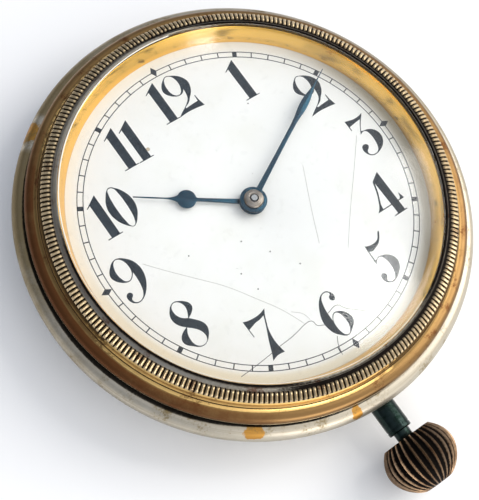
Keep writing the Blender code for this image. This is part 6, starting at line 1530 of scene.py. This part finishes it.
@dataclass
class Winding:
    """The stem and the fluted crown."""

    inner: float = 46.5
    length: float = 9.2
    radius: float = 6.4
    face: float = 2.1
    flutes: int = 28
    flute_depth: float = 0.62
    flute_edge: float = 0.7
    steps_to_flute: int = 12
    sectors: int = 4
    bore: Pair = (1.6, 5.5)
    roundness: float = 0.6
    cut_share: float = 0.12
    steps: int = 48
    stem: Section = (
        (0.0, 12.6), (0.7, 12.6, 0.0, 0.1), (0.7, 21.4), (1.2, 21.4, 0.0, 0.08), (1.2, 25.65, 0.0, 0.05),
        (0.7, 25.65), (0.7, 26.75), (1.2, 26.75, 0.0, 0.05), (1.2, 33.5), (1.45, 33.5, 0.0, 0.08),
        (1.45, 46.45, 0.0, 0.05), (1.2, 46.45), (1.2, 50.75, 0.0, 0.1), (0.0, 50.75),
    )

    @staticmethod
    def along_stem() -> Matrix:
        """Turns a piece spun round Z so that it lies along the stem, outwards to -Y."""
        return Matrix.Translation((0.0, 0.0, Case.stem_height)) @ Matrix.Rotation(math.pi / 2, 4, "X")

    def crown_profile(self) -> list[Station]:
        """Works out the crown's section.

        Returns:
            The stations from the bottom of its bore to the middle of its outer face.
        """
        bore, depth = self.bore
        floor, outer, flat = self.inner + depth, self.inner + self.length, self.face - 0.1
        found = stations(((0.0, floor), (bore, floor), (bore, self.inner, 0.0, 0.08), (flat, self.inner)))
        for step in range(self.steps + 1):
            share = (1 - math.cos(math.pi * step / self.steps)) / 2
            swell = math.sin(math.pi * (1 - self.cut_share) * (1 - share)) ** self.roundness
            radius = between(self.face, self.radius, swell)
            found.append(Station(radius, self.inner + self.length * share, Zone.GROOVE, 0.0, 1.0))
        return [*found, Station(flat, outer), Station(0.0, outer - 0.02)]

    def build(self) -> None:
        """Builds and dresses the crown and the stem."""
        steps = self.flutes * self.steps_to_flute // self.sectors
        blank = Blank().turn(self.crown_profile(), steps, self.sectors, closed=False)
        zone, grime = blank.marks["zone"], blank.marks["grime"]
        for point in blank.work.verts:
            if not Zone.GROOVE.holds(point[zone]):
                continue
            phase = math.atan2(point.co.y, point.co.x) / FULL_TURN * self.flutes
            dip = abs(math.sin(math.pi * phase)) ** self.flute_edge
            point[grime] = dip
            factor = 1 - self.flute_depth / self.radius * dip
            point.co.x *= factor
            point.co.y *= factor
        fit(blank.mesh("crown", self.along_stem()), "crown_fluted", Stock.CROWN, "crown", "crown")
        mesh = Blank().turn(stations(self.stem), 6, closed=False).mesh("winding_stem", self.along_stem())
        fit(mesh, "winding_stem_body", Stock.SLEEVE, "winding_stem", "winding_stem")


@dataclass
class Movement:
    """The finishes of the movement's own pieces, which keep the shapes of the frame.

    Steel pieces are listed by their names and blued ones by how their names end; the others are brass.
    """

    steel: tuple[str, ...] = (
        "setting_wheel", "setting_pinion", "intermediate_pinion", "centre_arbor", "third_pinion",
        "fourth_pinion", "escape_pinion", "escape_wheel", "barrel_arbor", "mainspring", "ratchet_wheel",
        "crown_wheel", "winding_pinion", "sliding_pinion", "click", "click_spring", "pallet_fork",
        "balance_staff", "hairspring_stud", "regulator", "setting_lever",
    )
    blued: tuple[str, ...] = ("_screw", "_screw_1", "_screw_2", "crown_wheel_post", "hairspring")

    def build(self) -> None:
        """Dresses every piece that is still shown as the frame has it."""
        for name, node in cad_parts.items():
            if node.hide_render:
                continue
            stock = Stock.STEEL if name in self.steel else Stock.BRASS
            if name.endswith(self.blued):
                stock = Stock.BLUE_SCREW
            node.data.materials.clear()
            node.data.materials.append(material_of(stock))
            log.info("%s: %s", name, stock.value.name)


# The studio


@dataclass
class Studio:
    """A pale floor, soft light from the right and the camera over the dial."""

    camera_at: Point = (-0.078451, -0.049832, 0.206671)
    camera_turn: Point = (21.78038, -9.46930, -36.00506)
    lens: float = 60.2568
    sensor: float = 24.0
    clip: Pair = (0.005, 10.0)
    floor_colour: Colour = paint(250, 250, 250)
    floor_half: float = 3000.0
    floor_height: float = -0.03
    lights: tuple[tuple[str, Point, float, float, Colour], ...] = (
        ("window", (0.30, -0.05, 0.60), 0.115, 0.32, (1.0, 0.985, 0.96)),
        ("side_light", (0.6, -0.16, 0.46), 0.5, 2.75, (1.0, 0.97, 0.92)),
        ("low_light", (-0.04, -0.62, 0.1), 0.36, 1.55, (1.0, 0.99, 0.98)),
        ("far_window", (0.37, 0.45, 0.60), 0.045, 0.06, (1.0, 0.97, 0.88)),
    )
    lit_point: Point = (0.0, 0.0, 0.015)
    sky_towards: Point = (0.5, -0.6, 0.35)
    sky_from: Pair = (-0.7, 0.8)
    sky: tuple[tuple[float, Colour], ...] = (
        (0.0, (0.12, 0.13, 0.15)), (0.55, (0.42, 0.46, 0.54)), (1.0, (1.0, 0.98, 0.95)),
    )
    sky_strength: float = 1.4

    def build(self) -> None:
        """Builds the floor, the surroundings, the lights and the camera."""
        self.build_floor()
        self.build_surroundings()
        for light in self.lights:
            self.add_light(*light)
        self.add_camera()

    def build_floor(self) -> None:
        """The plain floor that the clock lies on."""
        sheet = Blank()
        bmesh.ops.create_grid(sheet.work, x_segments=1, y_segments=1, size=self.floor_half)
        bmesh.ops.translate(sheet.work, verts=sheet.work.verts, vec=(0.0, 0.0, self.floor_height))
        mesh = sheet.mesh("floor")
        mesh.materials.append(Bench("floor_paint").surface(Base_Color=self.floor_colour, Roughness=0.8))
        floor = bpy.data.objects.new("floor", mesh)
        bpy.context.scene.collection.objects.link(floor)

    def build_surroundings(self) -> None:
        """Soft light from all round, brighter to the right."""
        bench = Bench("studio", world=True)
        way = bench.node("ShaderNodeTexCoord", out="Generated")
        lean = bench.vector("DOT_PRODUCT", {0: way, 1: self.sky_towards}, "Value")
        low, high = self.sky_from
        share = bench.node("ShaderNodeMapRange", None, {"Value": lean, "From Min": low, "From Max": high})
        feeds = {"Color": share.ramp(self.sky), "Strength": self.sky_strength}
        bpy.context.scene.world = bench.end(bench.node("ShaderNodeBackground", None, feeds))

    def add_light(self, name: str, at: Point, size: float, power: float, colour: Colour) -> None:
        """Adds a square soft light that faces the dial.

        Args:
            name: the light's name.
            at: its place in metres.
            size: its side in metres.
            power: its power in watts.
            colour: its colour.
        """
        data = bpy.data.lights.new(name, "AREA")
        data.size, data.energy, data.color = size, power, colour
        light = bpy.data.objects.new(name, data)
        light.location = at
        light.rotation_euler = (Vector(self.lit_point) - Vector(at)).to_track_quat("-Z", "Y").to_euler()
        bpy.context.scene.collection.objects.link(light)

    def add_camera(self) -> None:
        """The camera, as the photo was taken."""
        data = bpy.data.cameras.new("camera")
        data.lens, data.sensor_width = self.lens, self.sensor
        data.clip_start, data.clip_end = self.clip
        camera = bpy.data.objects.new("camera", data)
        camera.location = self.camera_at
        camera.rotation_euler = [math.radians(angle) for angle in self.camera_turn]
        bpy.context.scene.collection.objects.link(camera)
        bpy.context.scene.camera = camera
        bpy.context.scene.view_settings.view_transform = "Standard"


def main() -> None:
    """Builds the clock's looks in order, from the case to the studio."""
    logging.basicConfig(level=logging.INFO, format="%(message)s")
    for assembly in (Case(), Bezel(), Glass(), Dial(), Hands(), Winding(), Movement(), Studio()):
        log.info("building %s", type(assembly).__name__)
        assembly.build()


if __name__ == "__main__":
    main()
